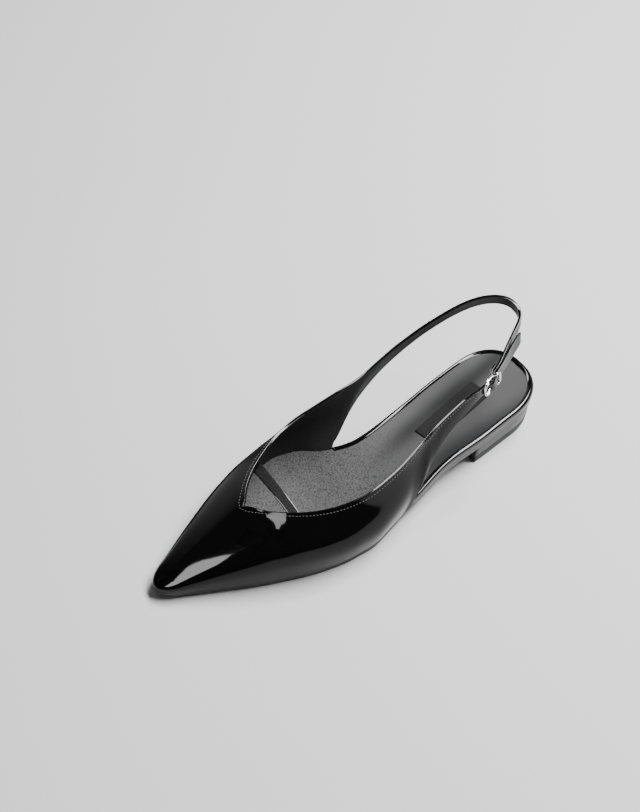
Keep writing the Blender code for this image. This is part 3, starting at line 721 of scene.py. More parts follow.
def close_rims(bm, width, segments=3):
    """Join the open rims of two facing sheets and round them by a width in millimetres."""
    rims = [edge for edge in bm.edges if edge.is_boundary]
    bmesh.ops.bridge_loops(bm, edges=rims)
    bmesh.ops.recalc_face_normals(bm, faces=bm.faces)
    bmesh.ops.bevel(
        bm,
        geom=rims,
        offset=width * MM,
        offset_type="OFFSET",
        affect="EDGES",
        segments=segments,
        profile=0.5,
        material=-1,
        clamp_overlap=True,
    )


def plate(bm, stations, across, bottom, top, insets, width, flare=0.0):
    """Plate over the sole's plan between two height functions, with rounded rims.
    The flare leans a cupped edge outwards as it rises."""
    shares = [math.sin(math.pi * (k / across - 0.5)) for k in range(across + 1)]
    for height, inset, lean in ((top, insets[1], flare), (bottom, insets[0], 0.0)):

        def point(i, j):
            x, v = stations[i], shares[j]
            along, aside = plan_point(x, v, inset)
            return along, aside - lean * cup_rise(x, v), height(x, v)

        add_grid(bm, len(stations), across + 1, point)
    close_rims(bm, width)


def tube(bm, path, radius, sides, ring=False):
    """Round wire along a path of layout points, closed on itself or with rounded ends."""
    count = len(path)
    loops = []
    side = None
    for k, centre in enumerate(path):
        ahead = path[(k + 1) % count] if ring else path[min(k + 1, count - 1)]
        behind = path[k - 1] if ring or k else path[0]
        heading = (ahead - behind).normalized()
        side = (heading.orthogonal() if side is None else side - heading * side.dot(heading)).normalized()
        turn = Matrix((side, heading.cross(side), heading)).transposed().to_4x4()
        spot = Matrix.Translation(place(centre)) @ turn
        made = bmesh.ops.create_circle(bm, segments=sides, radius=radius * MM, matrix=spot)
        loops.append({edge for vert in made["verts"] for edge in vert.link_edges})
    pairs = list(zip(loops, loops[1:] + loops[:1])) if ring else list(zip(loops, loops[1:]))
    for here, there in pairs:
        bmesh.ops.bridge_loops(bm, edges=list(here | there))
    if not ring:
        bmesh.ops.holes_fill(bm, edges=[edge for edge in bm.edges if edge.is_boundary])
    bmesh.ops.recalc_face_normals(bm, faces=bm.faces)


def smooth_path(points, steps, ring=False):
    """Points of a soft curve through the given layout points."""
    count = len(points)
    result = []
    for k in range(count if ring else count - 1):
        if ring:
            a, b, c, d = (points[(k + n) % count] for n in (-1, 0, 1, 2))
        else:
            a, b, c, d = (points[min(max(k + n, 0), count - 1)] for n in (-1, 0, 1, 2))
        for step in range(steps):
            t = step / steps
            bend, twist = 2.0 * a - 5.0 * b + 4.0 * c - d, 3.0 * b - a - 3.0 * c + d
            result.append(0.5 * (2.0 * b + (c - a) * t + bend * t**2 + twist * t**3))
    if not ring:
        result.append(points[-1])
    return result


def even_steps(points, pitch):
    """Places and headings at even steps along a polyline."""
    rest = pitch / 2.0
    for a, b in zip(points, points[1:]):
        run = (b - a).length
        while rest <= run:
            yield a.lerp(b, rest / run), (b - a).normalized()
            rest += pitch
        rest -= run


def sew(bm, lines, skin, sizes):
    """Stitches of thread along layout lines, laid on the skin of the leather."""
    for line in lines:
        for spot, heading in even_steps([place(p) for p in line], sizes.stitch_pitch):
            point, normal, _, _ = skin.find_nearest(spot)
            heading = (heading - normal * heading.dot(normal)).normalized()
            turn = Matrix((heading, normal.cross(heading), normal)).transposed().to_4x4()
            girth = sizes.thread_radius
            shape = Matrix.Diagonal((sizes.stitch_length / 2.0, girth, girth * STITCH_FLATNESS, 1.0))
            where = Matrix.Translation(point + normal * girth * STITCH_LIFT) @ turn @ shape
            bmesh.ops.create_uvsphere(
                bm, u_segments=STITCH_SIDES, v_segments=STITCH_RINGS, radius=1.0, matrix=where
            )


def skin_of(piece):
    """Finished surface of a piece, for laying stitches on it."""
    depsgraph = bpy.context.evaluated_depsgraph_get()
    return BVHTree.FromObject(piece, depsgraph)


# Shader helpers


def add_node(tree, kind, inputs=None, **settings):
    """Node with its settings and the values of its sockets."""
    node = tree.nodes.new(kind)
    for name, value in settings.items():
        setattr(node, name, value)
    for name, value in (inputs or {}).items():
        node.inputs[name].default_value = value
    return node


def new_group(name, inputs, outputs):
    """Empty shader group with float and vector sockets."""
    group = bpy.data.node_groups.new(name, "ShaderNodeTree")
    for label, kind in inputs:
        group.interface.new_socket(name=label, in_out="INPUT", socket_type=kind)
    for label, kind in outputs:
        group.interface.new_socket(name=label, in_out="OUTPUT", socket_type=kind)
    return group, group.nodes.new("NodeGroupInput"), group.nodes.new("NodeGroupOutput")


def pebble_group():
    """Pebbled leather: rounded grains with finer creases between them."""
    known = bpy.data.node_groups.get("pebble_grain")
    if known:
        return known
    group, given, result = new_group(
        "pebble_grain",
        [("Vector", "NodeSocketVector"), ("Scale", "NodeSocketFloat")],
        [("Height", "NodeSocketFloat")],
    )
    warp = add_node(group, "ShaderNodeTexNoise", {"Scale": 900.0, "Detail": 2.0})
    bend = add_node(group, "ShaderNodeVectorMath", operation="MULTIPLY_ADD")
    bend.inputs[1].default_value = (0.00035, 0.00035, 0.00035)
    cells = add_node(group, "ShaderNodeTexVoronoi", {"Smoothness": 0.35}, feature="SMOOTH_F1")
    fine = add_node(group, "ShaderNodeTexNoise", {"Detail": 3.0})
    double = add_node(group, "ShaderNodeMath", {1: 2.3}, operation="MULTIPLY")
    mix = add_node(group, "ShaderNodeMath", {1: 0.35}, operation="MULTIPLY_ADD")
    links = group.links
    links.new(given.outputs["Vector"], warp.inputs["Vector"])
    links.new(warp.outputs["Color"], bend.inputs[0])
    links.new(given.outputs["Vector"], bend.inputs[2])
    links.new(bend.outputs["Vector"], cells.inputs["Vector"])
    links.new(given.outputs["Scale"], cells.inputs["Scale"])
    links.new(given.outputs["Vector"], fine.inputs["Vector"])
    links.new(given.outputs["Scale"], double.inputs[0])
    links.new(double.outputs[0], fine.inputs["Scale"])
    links.new(fine.outputs["Fac"], mix.inputs[0])
    links.new(cells.outputs["Distance"], mix.inputs[2])
    links.new(mix.outputs[0], result.inputs["Height"])
    return group


def skin_group():
    """Cast film over leather: slow unevenness with a fine ripple, and a faint smear of its gloss."""
    known = bpy.data.node_groups.get("cast_film")
    if known:
        return known
    group, given, result = new_group(
        "cast_film",
        [("Vector", "NodeSocketVector"), ("Scale", "NodeSocketFloat")],
        [("Height", "NodeSocketFloat"), ("Smear", "NodeSocketFloat")],
    )
    slow = add_node(group, "ShaderNodeTexNoise", {"Scale": 90.0, "Detail": 1.0, "Roughness": 0.4})
    fine = add_node(group, "ShaderNodeTexNoise", {"Detail": 1.0, "Roughness": 0.5})
    both = add_node(group, "ShaderNodeMath", {1: 10.0}, operation="MULTIPLY_ADD")
    smear = add_node(group, "ShaderNodeTexNoise", {"Scale": 45.0, "Detail": 4.0})
    links = group.links
    for noise in (slow, fine, smear):
        links.new(given.outputs["Vector"], noise.inputs["Vector"])
    links.new(given.outputs["Scale"], fine.inputs["Scale"])
    links.new(slow.outputs["Fac"], both.inputs[0])
    links.new(fine.outputs["Fac"], both.inputs[2])
    links.new(both.outputs[0], result.inputs["Height"])
    links.new(smear.outputs["Fac"], result.inputs["Smear"])
    return group


def new_material(name, colour, roughness, **sockets):
    """Material with its Principled shader and Object coordinates."""
    material = bpy.data.materials.new(name)
    material.use_nodes = True
    tree = material.node_tree
    shader = tree.nodes["Principled BSDF"]
    shader.inputs["Base Color"].default_value = (*colour, 1.0)
    shader.inputs["Roughness"].default_value = roughness
    for label, value in sockets.items():
        shader.inputs[label.replace("_", " ")].default_value = value
    coordinates = tree.nodes.new("ShaderNodeTexCoord")
    return material, tree, shader, coordinates.outputs["Object"]


def add_bump(tree, shader, height, distance):
    """Bump of the given height in metres under the shader."""
    bump = add_node(tree, "ShaderNodeBump", {"Strength": 1.0, "Distance": distance})
    tree.links.new(height, bump.inputs["Height"])
    tree.links.new(bump.outputs["Normal"], shader.inputs["Normal"])


def place_group(tree, group, vector, scale):
    node = add_node(tree, "ShaderNodeGroup", node_tree=group)
    node.inputs["Scale"].default_value = scale
    tree.links.new(vector, node.inputs["Vector"])
    return node


def spread(tree, value, low, high):
    """Value from 0 to 1 mapped between two numbers."""
    node = add_node(tree, "ShaderNodeMapRange", {"To Min": low, "To Max": high})
    tree.links.new(value, node.inputs["Value"])
    return node.outputs["Result"]


def feed(tree, source, socket):
    """Link a socket to an input, or set a colour on it."""
    if isinstance(source, bpy.types.NodeSocket):
        tree.links.new(source, socket)
    else:
        socket.default_value = (*source, 1.0)


def mix_colours(tree, factor, start, end):
    """Colour that goes from start, a colour or a socket, to the colour end with the factor."""
    node = add_node(tree, "ShaderNodeMix", data_type="RGBA")
    feed(tree, start, node.inputs["A"])
    feed(tree, end, node.inputs["B"])
    tree.links.new(factor, node.inputs["Factor"])
    return node.outputs["Result"]


def darken(tree, colour, factor, depth):
    """Colour, given as a colour or a socket, darkened by the given share where the factor is one."""
    node = add_node(tree, "ShaderNodeMix", data_type="RGBA", blend_type="MULTIPLY")
    feed(tree, colour, node.inputs["A"])
    feed(tree, [1.0 - depth] * 3, node.inputs["B"])
    tree.links.new(factor, node.inputs["Factor"])
    return node.outputs["Result"]


def multiply(tree, first, second):
    """Product of two values."""
    node = add_node(tree, "ShaderNodeMath", operation="MULTIPLY")
    tree.links.new(first, node.inputs[0])
    tree.links.new(second, node.inputs[1])
    return node.outputs[0]


def forward_mask(tree, vector, rear, front):
    """Mask that rises along the shoe from the rear station to the front one."""
    axes = tree.nodes.new("ShaderNodeSeparateXYZ")
    tree.links.new(vector, axes.inputs["Vector"])
    limits = {"From Min": rear, "From Max": front}
    mask = add_node(tree, "ShaderNodeMapRange", limits, interpolation_type="SMOOTHSTEP")
    tree.links.new(axes.outputs["X"], mask.inputs["Value"])
    return mask.outputs["Result"]


def glossy_skin(name, colour, gloss):
    """Patent finish: black under a mirror film that is never quite even."""
    material, tree, shader, vector = new_material(name, colour, gloss.roughness, IOR=gloss.ior)
    film = place_group(tree, skin_group(), vector, FILM_SCALE)
    smear = spread(tree, film.outputs["Smear"], *[gloss.roughness * share for share in FILM_SMEAR])
    tree.links.new(smear, shader.inputs["Roughness"])
    add_bump(tree, shader, film.outputs["Height"], FILM_DEPTH)
    return material


def grained_leather(name, colour, finish, front=None):
    """Leather with a pebbled grain whose hollows are darker and duller. With a front colour, the leather
    turns to it ahead of the waist."""
    material, tree, shader, vector = new_material(name, colour, finish.roughness)
    grain = place_group(tree, pebble_group(), vector, finish.scale)
    base = colour
    if front is not None:
        base = mix_colours(tree, forward_mask(tree, vector, *WAIST), colour, front)
    shade = darken(tree, base, grain.outputs["Height"], HOLLOW_DEPTH)
    tree.links.new(shade, shader.inputs["Base Color"])
    dull = spread(tree, grain.outputs["Height"], *[finish.roughness * share for share in HOLLOW_DULL])
    tree.links.new(dull, shader.inputs["Roughness"])
    add_bump(tree, shader, grain.outputs["Height"], -finish.depth)
    return material


def seat_shade_mask(tree, vector):
    """Painted shade on the heel seat: a darker band down its middle and a darker strip beside the outer
    edge.
    """
    axes = tree.nodes.new("ShaderNodeSeparateXYZ")
    tree.links.new(vector, axes.inputs["Vector"])
    skew = add_node(tree, "ShaderNodeMath", {1: -SEAT_SHADE_SLOPE, 2: -SEAT_SHADE_START}, operation="MULTIPLY_ADD")
    aside = add_node(tree, "ShaderNodeMath", operation="ADD")
    away = add_node(tree, "ShaderNodeMath", operation="ABSOLUTE")
    middle_shade = add_node(tree, "ShaderNodeMapRange", {"From Min": SEAT_SHADE_HALF, "From Max": 0.0})
    edge = add_node(tree, "ShaderNodeMapRange", {"From Min": SEAT_SHADE_EDGE[0], "From Max": SEAT_SHADE_EDGE[1]})
    shaded = add_node(tree, "ShaderNodeMath", operation="MAXIMUM")
    middle_shade.interpolation_type = edge.interpolation_type = "SMOOTHSTEP"
    tree.links.new(axes.outputs["X"], skew.inputs[0])
    tree.links.new(axes.outputs["Y"], aside.inputs[0])
    tree.links.new(skew.outputs[0], aside.inputs[1])
    tree.links.new(aside.outputs[0], away.inputs[0])
    tree.links.new(away.outputs[0], middle_shade.inputs["Value"])
    tree.links.new(axes.outputs["Y"], edge.inputs["Value"])
    tree.links.new(middle_shade.outputs["Result"], shaded.inputs[0])
    tree.links.new(edge.outputs["Result"], shaded.inputs[1])
    return shaded.outputs[0]


def sock_leather(front_colour, shaded):
    """Sock leather: pebbled under the forefoot, pressed smooth and darker on the heel seat, with painted
    shade down the seat's middle and beside its outer edge.
    """
    material, tree, shader, vector = new_material(
        "sock leather", front_colour, SOCK_GRAIN.roughness, Specular_IOR_Level=SOCK_SHINE
    )
    grain = place_group(tree, pebble_group(), vector, SOCK_GRAIN.scale)
    forward = forward_mask(tree, vector, *PEBBLED)
    height = multiply(tree, grain.outputs["Height"], forward)
    # Painted shade down the middle of the heel seat and beside its outer edge, gone under the pebbled front
    seat_shade = multiply(tree, seat_shade_mask(tree, vector), spread(tree, forward, 1.0, 0.0))
    seat = mix_colours(tree, forward, [c * SEAT_TONE for c in front_colour], front_colour)
    base = mix_colours(tree, seat_shade, seat, shaded)
    tree.links.new(darken(tree, base, height, SOCK_HOLLOW), shader.inputs["Base Color"])
    tree.links.new(spread(tree, forward, *SOCK_DULL), shader.inputs["Roughness"])
    add_bump(tree, shader, height, -SOCK_GRAIN.depth)
    return material


def woven_cloth(name, colour, finish):
    """Cloth with fine ribs across and along."""
    material, tree, shader, vector = new_material(
        name, colour, finish.roughness, Specular_IOR_Level=CLOTH_SHINE
    )
    waves = []
    for scale, direction in ((finish.scale, "X"), (finish.scale * WARP_DENSITY, "Y")):
        inputs = {"Scale": scale, "Distortion": RIB_WAVER}
        wave = add_node(tree, "ShaderNodeTexWave", inputs, bands_direction=direction)
        tree.links.new(vector, wave.inputs["Vector"])
        waves.append(wave.outputs["Fac"])
    crest = multiply(tree, *waves)
    shade = mix_colours(tree, crest, [c * CLOTH_HOLLOW for c in colour], colour)
    tree.links.new(shade, shader.inputs["Base Color"])
    dull = spread(tree, crest, finish.roughness, finish.roughness * CLOTH_DULL)
    tree.links.new(dull, shader.inputs["Roughness"])
    add_bump(tree, shader, crest, finish.depth)
    return material


def polished_steel(colour):
    """Bright plated steel with faint polishing marks."""
    material, tree, shader, vector = new_material("polished steel", colour, STEEL_ROUGHNESS, Metallic=1.0)
    marks = add_node(tree, "ShaderNodeTexNoise", {"Scale": 1800.0, "Detail": 3.0})
    tree.links.new(vector, marks.inputs["Vector"])
    tree.links.new(spread(tree, marks.outputs["Fac"], *STEEL_MARKS), shader.inputs["Roughness"])
    return material


# Operators


class SHOE_OT_upper(bpy.types.Operator):
    """Make the leather wall of vamp, quarters, sling strap and buckle tab."""

    bl_idname = "shoe.upper"
    bl_label = "Upper"

    def execute(self, context):
        sizes, finishes = context.scene.shoe_sizes, context.scene.shoe_finishes
        bm = bmesh.new()
        weights = bm.verts.layers.deform.verify()
        ridge_end = (len(VAMP) - 1) * VAMP_STEPS
        middle = WALL_CELLS // 2
        roll = sizes.edge_roll / MM
        shared = {}
        for side in (1, -1):
            lines = ribs(side)

            def point(i, j):
                """Point of the outer face; both sides share the toe rib and the ridge."""
                row = lines[i][0]
                here = rib_point(row, side, rib_shares(row, roll)[j])
                joint = i == 0 or (j == WALL_CELLS and i <= ridge_end)
                return shared.setdefault((i, j), here) if joint else here

            spots = add_grid(bm, len(lines), WALL_CELLS + 1, point)
            for vert, (i, _) in spots.items():
                vert[weights][0] = lines[i][0].wall / WALL_MOST
            sheet = {face for vert in spots for face in vert.link_faces}
            if side < 0:
                bmesh.ops.reverse_faces(bm, faces=list(sheet))
            slot = prong_slot(side)
            cut = []
            for face in sheet:
                i = min(spots[vert][0] for vert in face.verts)
                j = min(spots[vert][1] for vert in face.verts)
                if j == middle and lines[i][1] in slot:
                    cut.append(face)
            bmesh.ops.delete(bm, geom=cut, context="FACES")
        bmesh.ops.remove_doubles(bm, verts=bm.verts, dist=MERGE * MM)
        patent = glossy_skin("patent leather", finishes.patent, PATENT_GLOSS)
        lining = grained_leather("lining leather", finishes.lining, LINING_GRAIN)
        edge = glossy_skin("rolled edge", finishes.patent, EDGE_GLOSS)
        piece = make_piece("upper_leather", bm, [patent, lining, edge], "patent_leather", "upper")
        piece.vertex_groups.new(name="wall")
        wall = piece.modifiers.new("wall", "SOLIDIFY")
        wall.thickness = WALL_MOST * MM
        wall.offset = -1.0
        wall.vertex_group = "wall"
        wall.material_offset = 1
        wall.material_offset_rim = 2
        wall.edge_crease_inner = wall.edge_crease_outer = EDGE_CREASE
        soften = piece.modifiers.new("soften", "SUBSURF")
        soften.levels = soften.render_levels = sizes.smoothing
        return {"FINISHED"}


class SHOE_OT_stitches(bpy.types.Operator):
    """Sew the topline and the top edge of the sling strap."""

    bl_idname = "shoe.stitches"
    bl_label = "Stitches"

    def execute(self, context):
        sizes, finishes = context.scene.shoe_sizes, context.scene.shoe_finishes
        inset = sizes.stitch_inset / MM
        skin = skin_of(bpy.data.objects["upper_leather"])
        tip, ahead = (Vector((v.ridge_x, v.ridge_y, v.ridge_z)) for v in (VAMP[-1], VAMP[-2]))
        halves = []
        for side, table in ((1, LATERAL), (-1, MEDIAL)):
            rows = [row for row, k in ribs(side) if len(VAMP) <= k < len(VAMP) + len(table)]
            halves.append([rib_point(row, side, 1.0 - inset / rib_length(row)) for row in rows])
        corner = tip + (ahead - tip).normalized() * inset
        row = smooth_path([*reversed(halves[1]), corner, *halves[0]], 3)
        bm = bmesh.new()
        sew(bm, [row], skin, sizes)
        thread = woven_cloth("sewing thread", finishes.thread, THREAD_TWIST)
        make_piece("topline_stitches", bm, [thread], "patent_leather")
        return {"FINISHED"}


class SHOE_OT_sock(bpy.types.Operator):
    """Make the pebbled sock that covers the insole."""

    bl_idname = "shoe.sock"
    bl_label = "Sock"

    def execute(self, context):
        finishes = context.scene.shoe_finishes
        bm = bmesh.new()
        insets = (SOCK_INSET, SOCK_INSET)
        plate(bm, sole_stations(), SOCK_CELLS, insole_bottom, insole_top, insets, SOCK_EDGE, CUP_FLARE)
        leather = sock_leather(finishes.sock_front, finishes.sock_shaded)
        make_piece("sock", bm, [leather], "sock_leather", "insole")
        return {"FINISHED"}


class SHOE_OT_rim(bpy.types.Operator):
    """Make the glossy rim round the open rear of the sock."""

    bl_idname = "shoe.rim"
    bl_label = "Rim"

    def execute(self, context):
        stations = sole_stations()
        medial = [(x, -1.0) for x in reversed(stations) if x < RIM_END_MEDIAL]
        lateral = [(x, 1.0) for x in stations if x < RIM_END_LATERAL]
        route = [(RIM_END_MEDIAL, -1.0), *medial, *lateral, (RIM_END_LATERAL, 1.0)]

        def section(x, v):
            low = insole_bottom(x, v)
            high = insole_top(x, v) + RIM_RISE
            foot = [(inset, low + rise) for inset, rise in RIM_FOOT]
            roll = []
            for turn in range(0, 91, RIM_ROLL_STEP):
                a = math.radians(turn)
                roll.append((RIM_ROLL * (1.0 - math.cos(a)), high - RIM_ROLL * (1.0 - math.sin(a))))
            slope = [(RIM_ROLL + across, high - down) for across, down in RIM_SLOPE]
            inner = RIM_ROLL + RIM_SLOPE[-1][0]
            return [*foot, *roll, *slope, (inner, low), foot[0]]

        profile = [section(x, v) for x, v in route]
        bm = bmesh.new()

        def point(i, j):
            inset, z = profile[i][j]
            return (*plan_point(*route[i], inset), z)

        add_grid(bm, len(route), len(profile[0]), point)
        bmesh.ops.remove_doubles(bm, verts=bm.verts, dist=MERGE * MM)
        bmesh.ops.holes_fill(bm, edges=[edge for edge in bm.edges if edge.is_boundary])
        bmesh.ops.recalc_face_normals(bm, faces=bm.faces)
        patent = glossy_skin("patent rim", context.scene.shoe_finishes.patent, RIM_GLOSS)
        make_piece("sock_rim", bm, [patent], "rim_leather", "insole_binding")
        return {"FINISHED"}


class SHOE_OT_outsole(bpy.types.Operator):
    """Make the outsole."""

    bl_idname = "shoe.outsole"
    bl_label = "Outsole"

    def execute(self, context):
        bm = bmesh.new()
        insets = (OUTSOLE_INSET, OUTSOLE_INSET)
        plate(bm, sole_stations(), SOLE_CELLS, underside, outsole_top, insets, SOLE_EDGE)
        finishes = context.scene.shoe_finishes
        leather = grained_leather("sole leather", finishes.sole_rear, SOLE_GRAIN, finishes.sole_front)
        make_piece("sole", bm, [leather], "sole_leather", "outsole")
        return {"FINISHED"}


class SHOE_OT_heel(bpy.types.Operator):
    """Make the covered heel block and its rubber top piece."""

    bl_idname = "shoe.heel"
    bl_label = "Heel"

    def execute(self, context):
        finishes = context.scene.shoe_finishes
        stations = [x for x in sole_stations() if x < BREAST_X - 1.0] + [BREAST_X]

        def block(bm, bottom, top, insets, width):
            """Slab of the heel's plan between two levels."""
            plate(bm, stations, SOLE_CELLS, bottom, top, insets, width)

        def seat(x, v):
            return underside(x, v) - SEAT_GAP

        bm = bmesh.new()
        insets = (HEEL_INSET_FLOOR, HEEL_INSET_TOP)
        block(bm, lambda x, v: TOP_PIECE_THICK + SEAT_GAP, seat, insets, HEEL_EDGE)
        cover = grained_leather("heel cover", finishes.heel, HEEL_GRAIN)
        make_piece("heel_block", bm, [cover], "heel_stack", "heel")
        bm = bmesh.new()
        insets = (HEEL_INSET_FLOOR + TOP_PIECE_DRAFT, HEEL_INSET_FLOOR)
        block(bm, lambda x, v: 0.0, lambda x, v: TOP_PIECE_THICK, insets, HEEL_EDGE)
        rubber = grained_leather("top piece rubber", finishes.rubber, RUBBER_GRAIN)
        make_piece("heel_lift", bm, [rubber], "top_piece_rubber", "heel_top_piece")
        # Dark strips in the two joints of the heel: painted shade for their shadow lines
        bm = bmesh.new()
        joints = ((underside, HEEL_INSET_TOP), (lambda x, v: TOP_PIECE_THICK + JOINT_SHADE_HEIGHT, HEEL_INSET_FLOOR))
        for level, inset in joints:
            insets = (inset - JOINT_SHADE_LAP, inset - JOINT_SHADE_LAP)
            block(bm, lambda x, v: level(x, v) - JOINT_SHADE_HEIGHT, lambda x, v: level(x, v) - JOINT_SHADE_LAP, insets, JOINT_SHADE_LAP)
        joint_shade = grained_leather("painted joint shade", finishes.patent, JOINT_SHADE_GRAIN)
        make_piece("heel_joint_shades", bm, [joint_shade], "heel_stack")
        return {"FINISHED"}


class SHOE_OT_label(bpy.types.Operator):
    """Make the bare patch on the sock, sewn at its ends."""

    bl_idname = "shoe.label"
    bl_label = "Label"

    def execute(self, context):
        sizes, finishes = context.scene.shoe_sizes, context.scene.shoe_finishes
        rear, front = Vector(LABEL_REAR), Vector(LABEL_FRONT)
        heading = (front - rear).normalized()
        across = Vector((-heading.y, heading.x))
        rows, columns = LABEL_ROWS, LABEL_COLUMNS

        def spot(s, t, lift):
            where = rear.lerp(front, s) - across * LABEL_WIDTH * (0.5 - t)
            half = column(PLAN, "half", where.x) - SOCK_INSET
            v = (where.y - column(PLAN, "centre", where.x)) / half
            return (where.x, where.y, insole_top(where.x, v) + lift)

        bm = bmesh.new()
        for lift in (SEAT_GAP + LABEL_THICK, LABEL_LIFT):
            add_grid(bm, rows, columns, lambda i, j: spot(i / (rows - 1), j / (columns - 1), lift))
        close_rims(bm, LABEL_EDGE, 2)
        cloth = woven_cloth("label cloth", finishes.cloth, LABEL_WEAVE)
        patch = make_piece("sock_patch", bm, [cloth], "label_fabric", "sock_label")
        bm = bmesh.new()
        lift = SEAT_GAP + LABEL_THICK
        shares = [k / SEAM_STEPS for k in range(1, SEAM_STEPS)]
        ends = [[Vector(spot(s, t, lift)) for t in shares] for s in LABEL_SEAMS]
        sew(bm, ends, skin_of(patch), sizes)
        thread = woven_cloth("label thread", [c * LABEL_THREAD_TONE for c in finishes.cloth], LABEL_THREAD)
        make_piece("patch_stitches", bm, [thread], "label_fabric")
        return {"FINISHED"}


class SHOE_OT_throat_band(bpy.types.Operator):
    """Make the elastic band across the throat."""

    bl_idname = "shoe.throat_band"
    bl_label = "Throat band"

    def execute(self, context):
        lines = []
        for k in range(BAND_ROWS):
            ends = []
            for side, table in ((1, LATERAL), (-1, MEDIAL)):
                front, rear = stand_on_sole(table[1], side), stand_on_sole(table[2], side)
                mix = BAND_FRONT + (BAND_REAR[side] - BAND_FRONT) * k / (BAND_ROWS - 1)
                row = Rib(*[a + (b - a) * mix for a, b in zip(front, rear)])
                tucked = []
                for t in (1.0 - BAND_TUCK, 1.0 - BAND_TUCK / 2.0, 1.0):
                    rise = rib_point(row, side, t) - rib_point(row, side, t - BAND_TUCK / 2.0)
                    inward = Vector((0.0, -rise.z * side, rise.y * side)).normalized()
                    inward = inward if inward.z < 0.0 else inward * -1.0
                    tucked.append(rib_point(row, side, t) + inward * (row.wall + SEAT_GAP))
                ends.append(tucked)
            left, right = ends
            bridge = []
            for s in range(1, BAND_STEPS):
                share = s / BAND_STEPS
                point = left[-1].lerp(right[-1], share)
                bridge.append(point + UP * BAND_ARCH * 4.0 * share * (1.0 - share))
            lines.append(left + bridge + list(reversed(right)))
        bm = bmesh.new()
        for drop in (0.0, BAND_THICK):
            add_grid(bm, BAND_ROWS, len(lines[0]), lambda i, j: lines[i][j] - UP * drop)
        close_rims(bm, BAND_EDGE)
        finishes = context.scene.shoe_finishes
        elastic = woven_cloth("elastic", [c * ELASTIC_TONE for c in finishes.cloth], ELASTIC_WEAVE)
        make_piece("throat_elastic", bm, [elastic], "elastic_fabric", "throat_band")
        # The rear cord is made light in colour: a painted highlight along the band's rear edge
        for name, edge, radius, tone in CORDS:
            bm = bmesh.new()
            cord = lines[edge][2 : BAND_STEPS // 2]
            sunk = [p - UP * CORD_SINK * (k / len(cord)) ** 2 for k, p in enumerate(cord)]
            tube(bm, smooth_path(sunk, 2), radius, CORD_SIDES)
            thread = woven_cloth(f"{name} cord", [c * tone for c in finishes.thread], THREAD_TWIST)
            make_piece(f"band_cord_{name}", bm, [thread], "elastic_fabric")
        return {"FINISHED"}


class SHOE_OT_buckle(bpy.types.Operator):
    """Make the wire frame of the buckle, its bar and its prong."""

    bl_idname = "shoe.buckle"
    bl_label = "Buckle"

    def execute(self, context):
        path = []
        straight = BUCKLE_HALF_LENGTH - BUCKLE_CORNER
        for turn, (a, c) in enumerate(((1, 1), (-1, 1), (-1, -1), (1, -1))):
            along, across = a * straight, c * (BUCKLE_HALF_WIDTH - BUCKLE_CORNER)
            for step in range(CORNER_STEPS + 1):
                angle = math.radians(90.0 * (turn + step / CORNER_STEPS))
                ahead, aside = BUCKLE_CORNER * math.cos(angle), BUCKLE_CORNER * math.sin(angle)
                path.append((along + ahead, across + aside))
            if a == c:
                path.append((a * BUCKLE_FLAT, c * BUCKLE_HALF_WIDTH))
                path.append((-a * BUCKLE_FLAT, c * BUCKLE_HALF_WIDTH))
        loop = [at_buckle(a, BUCKLE_DIP * (min(1.0, (a / straight) ** 2) - 1.0), c) for a, c in path]
        bm = bmesh.new()
        tube(bm, smooth_path(loop, WIRE_STEPS, ring=True), WIRE_RADIUS, WIRE_SIDES, ring=True)
        steel = polished_steel(context.scene.shoe_finishes.steel)
        make_piece("buckle_wire", bm, [steel], "buckle_steel", "buckle_frame")
        bm = bmesh.new()
        ends = [at_buckle(0.0, -BUCKLE_DIP, c * BUCKLE_HALF_WIDTH) for c in (-1, 1)]
        tube(bm, ends, BAR_RADIUS, BAR_SIDES)
        make_piece("buckle_bar", bm, [steel], "buckle_steel")
        eye = []
        for k in range(PRONG_EYE_STEPS + 1):
            angle = math.radians(PRONG_EYE_FROM + PRONG_EYE_TURN * k / PRONG_EYE_STEPS)
            eye.append(at_buckle(PRONG_EYE * math.cos(angle), PRONG_EYE * math.sin(angle) - BUCKLE_DIP))
        pin = [at_buckle(lap.along, lap.out) for lap in PRONG_PATH]
        bm = bmesh.new()
        tube(bm, smooth_path(eye + pin, WIRE_STEPS), PRONG_RADIUS, PRONG_SIDES)
        make_piece("buckle_pin", bm, [steel], "buckle_steel", "buckle_prong")
        return {"FINISHED"}


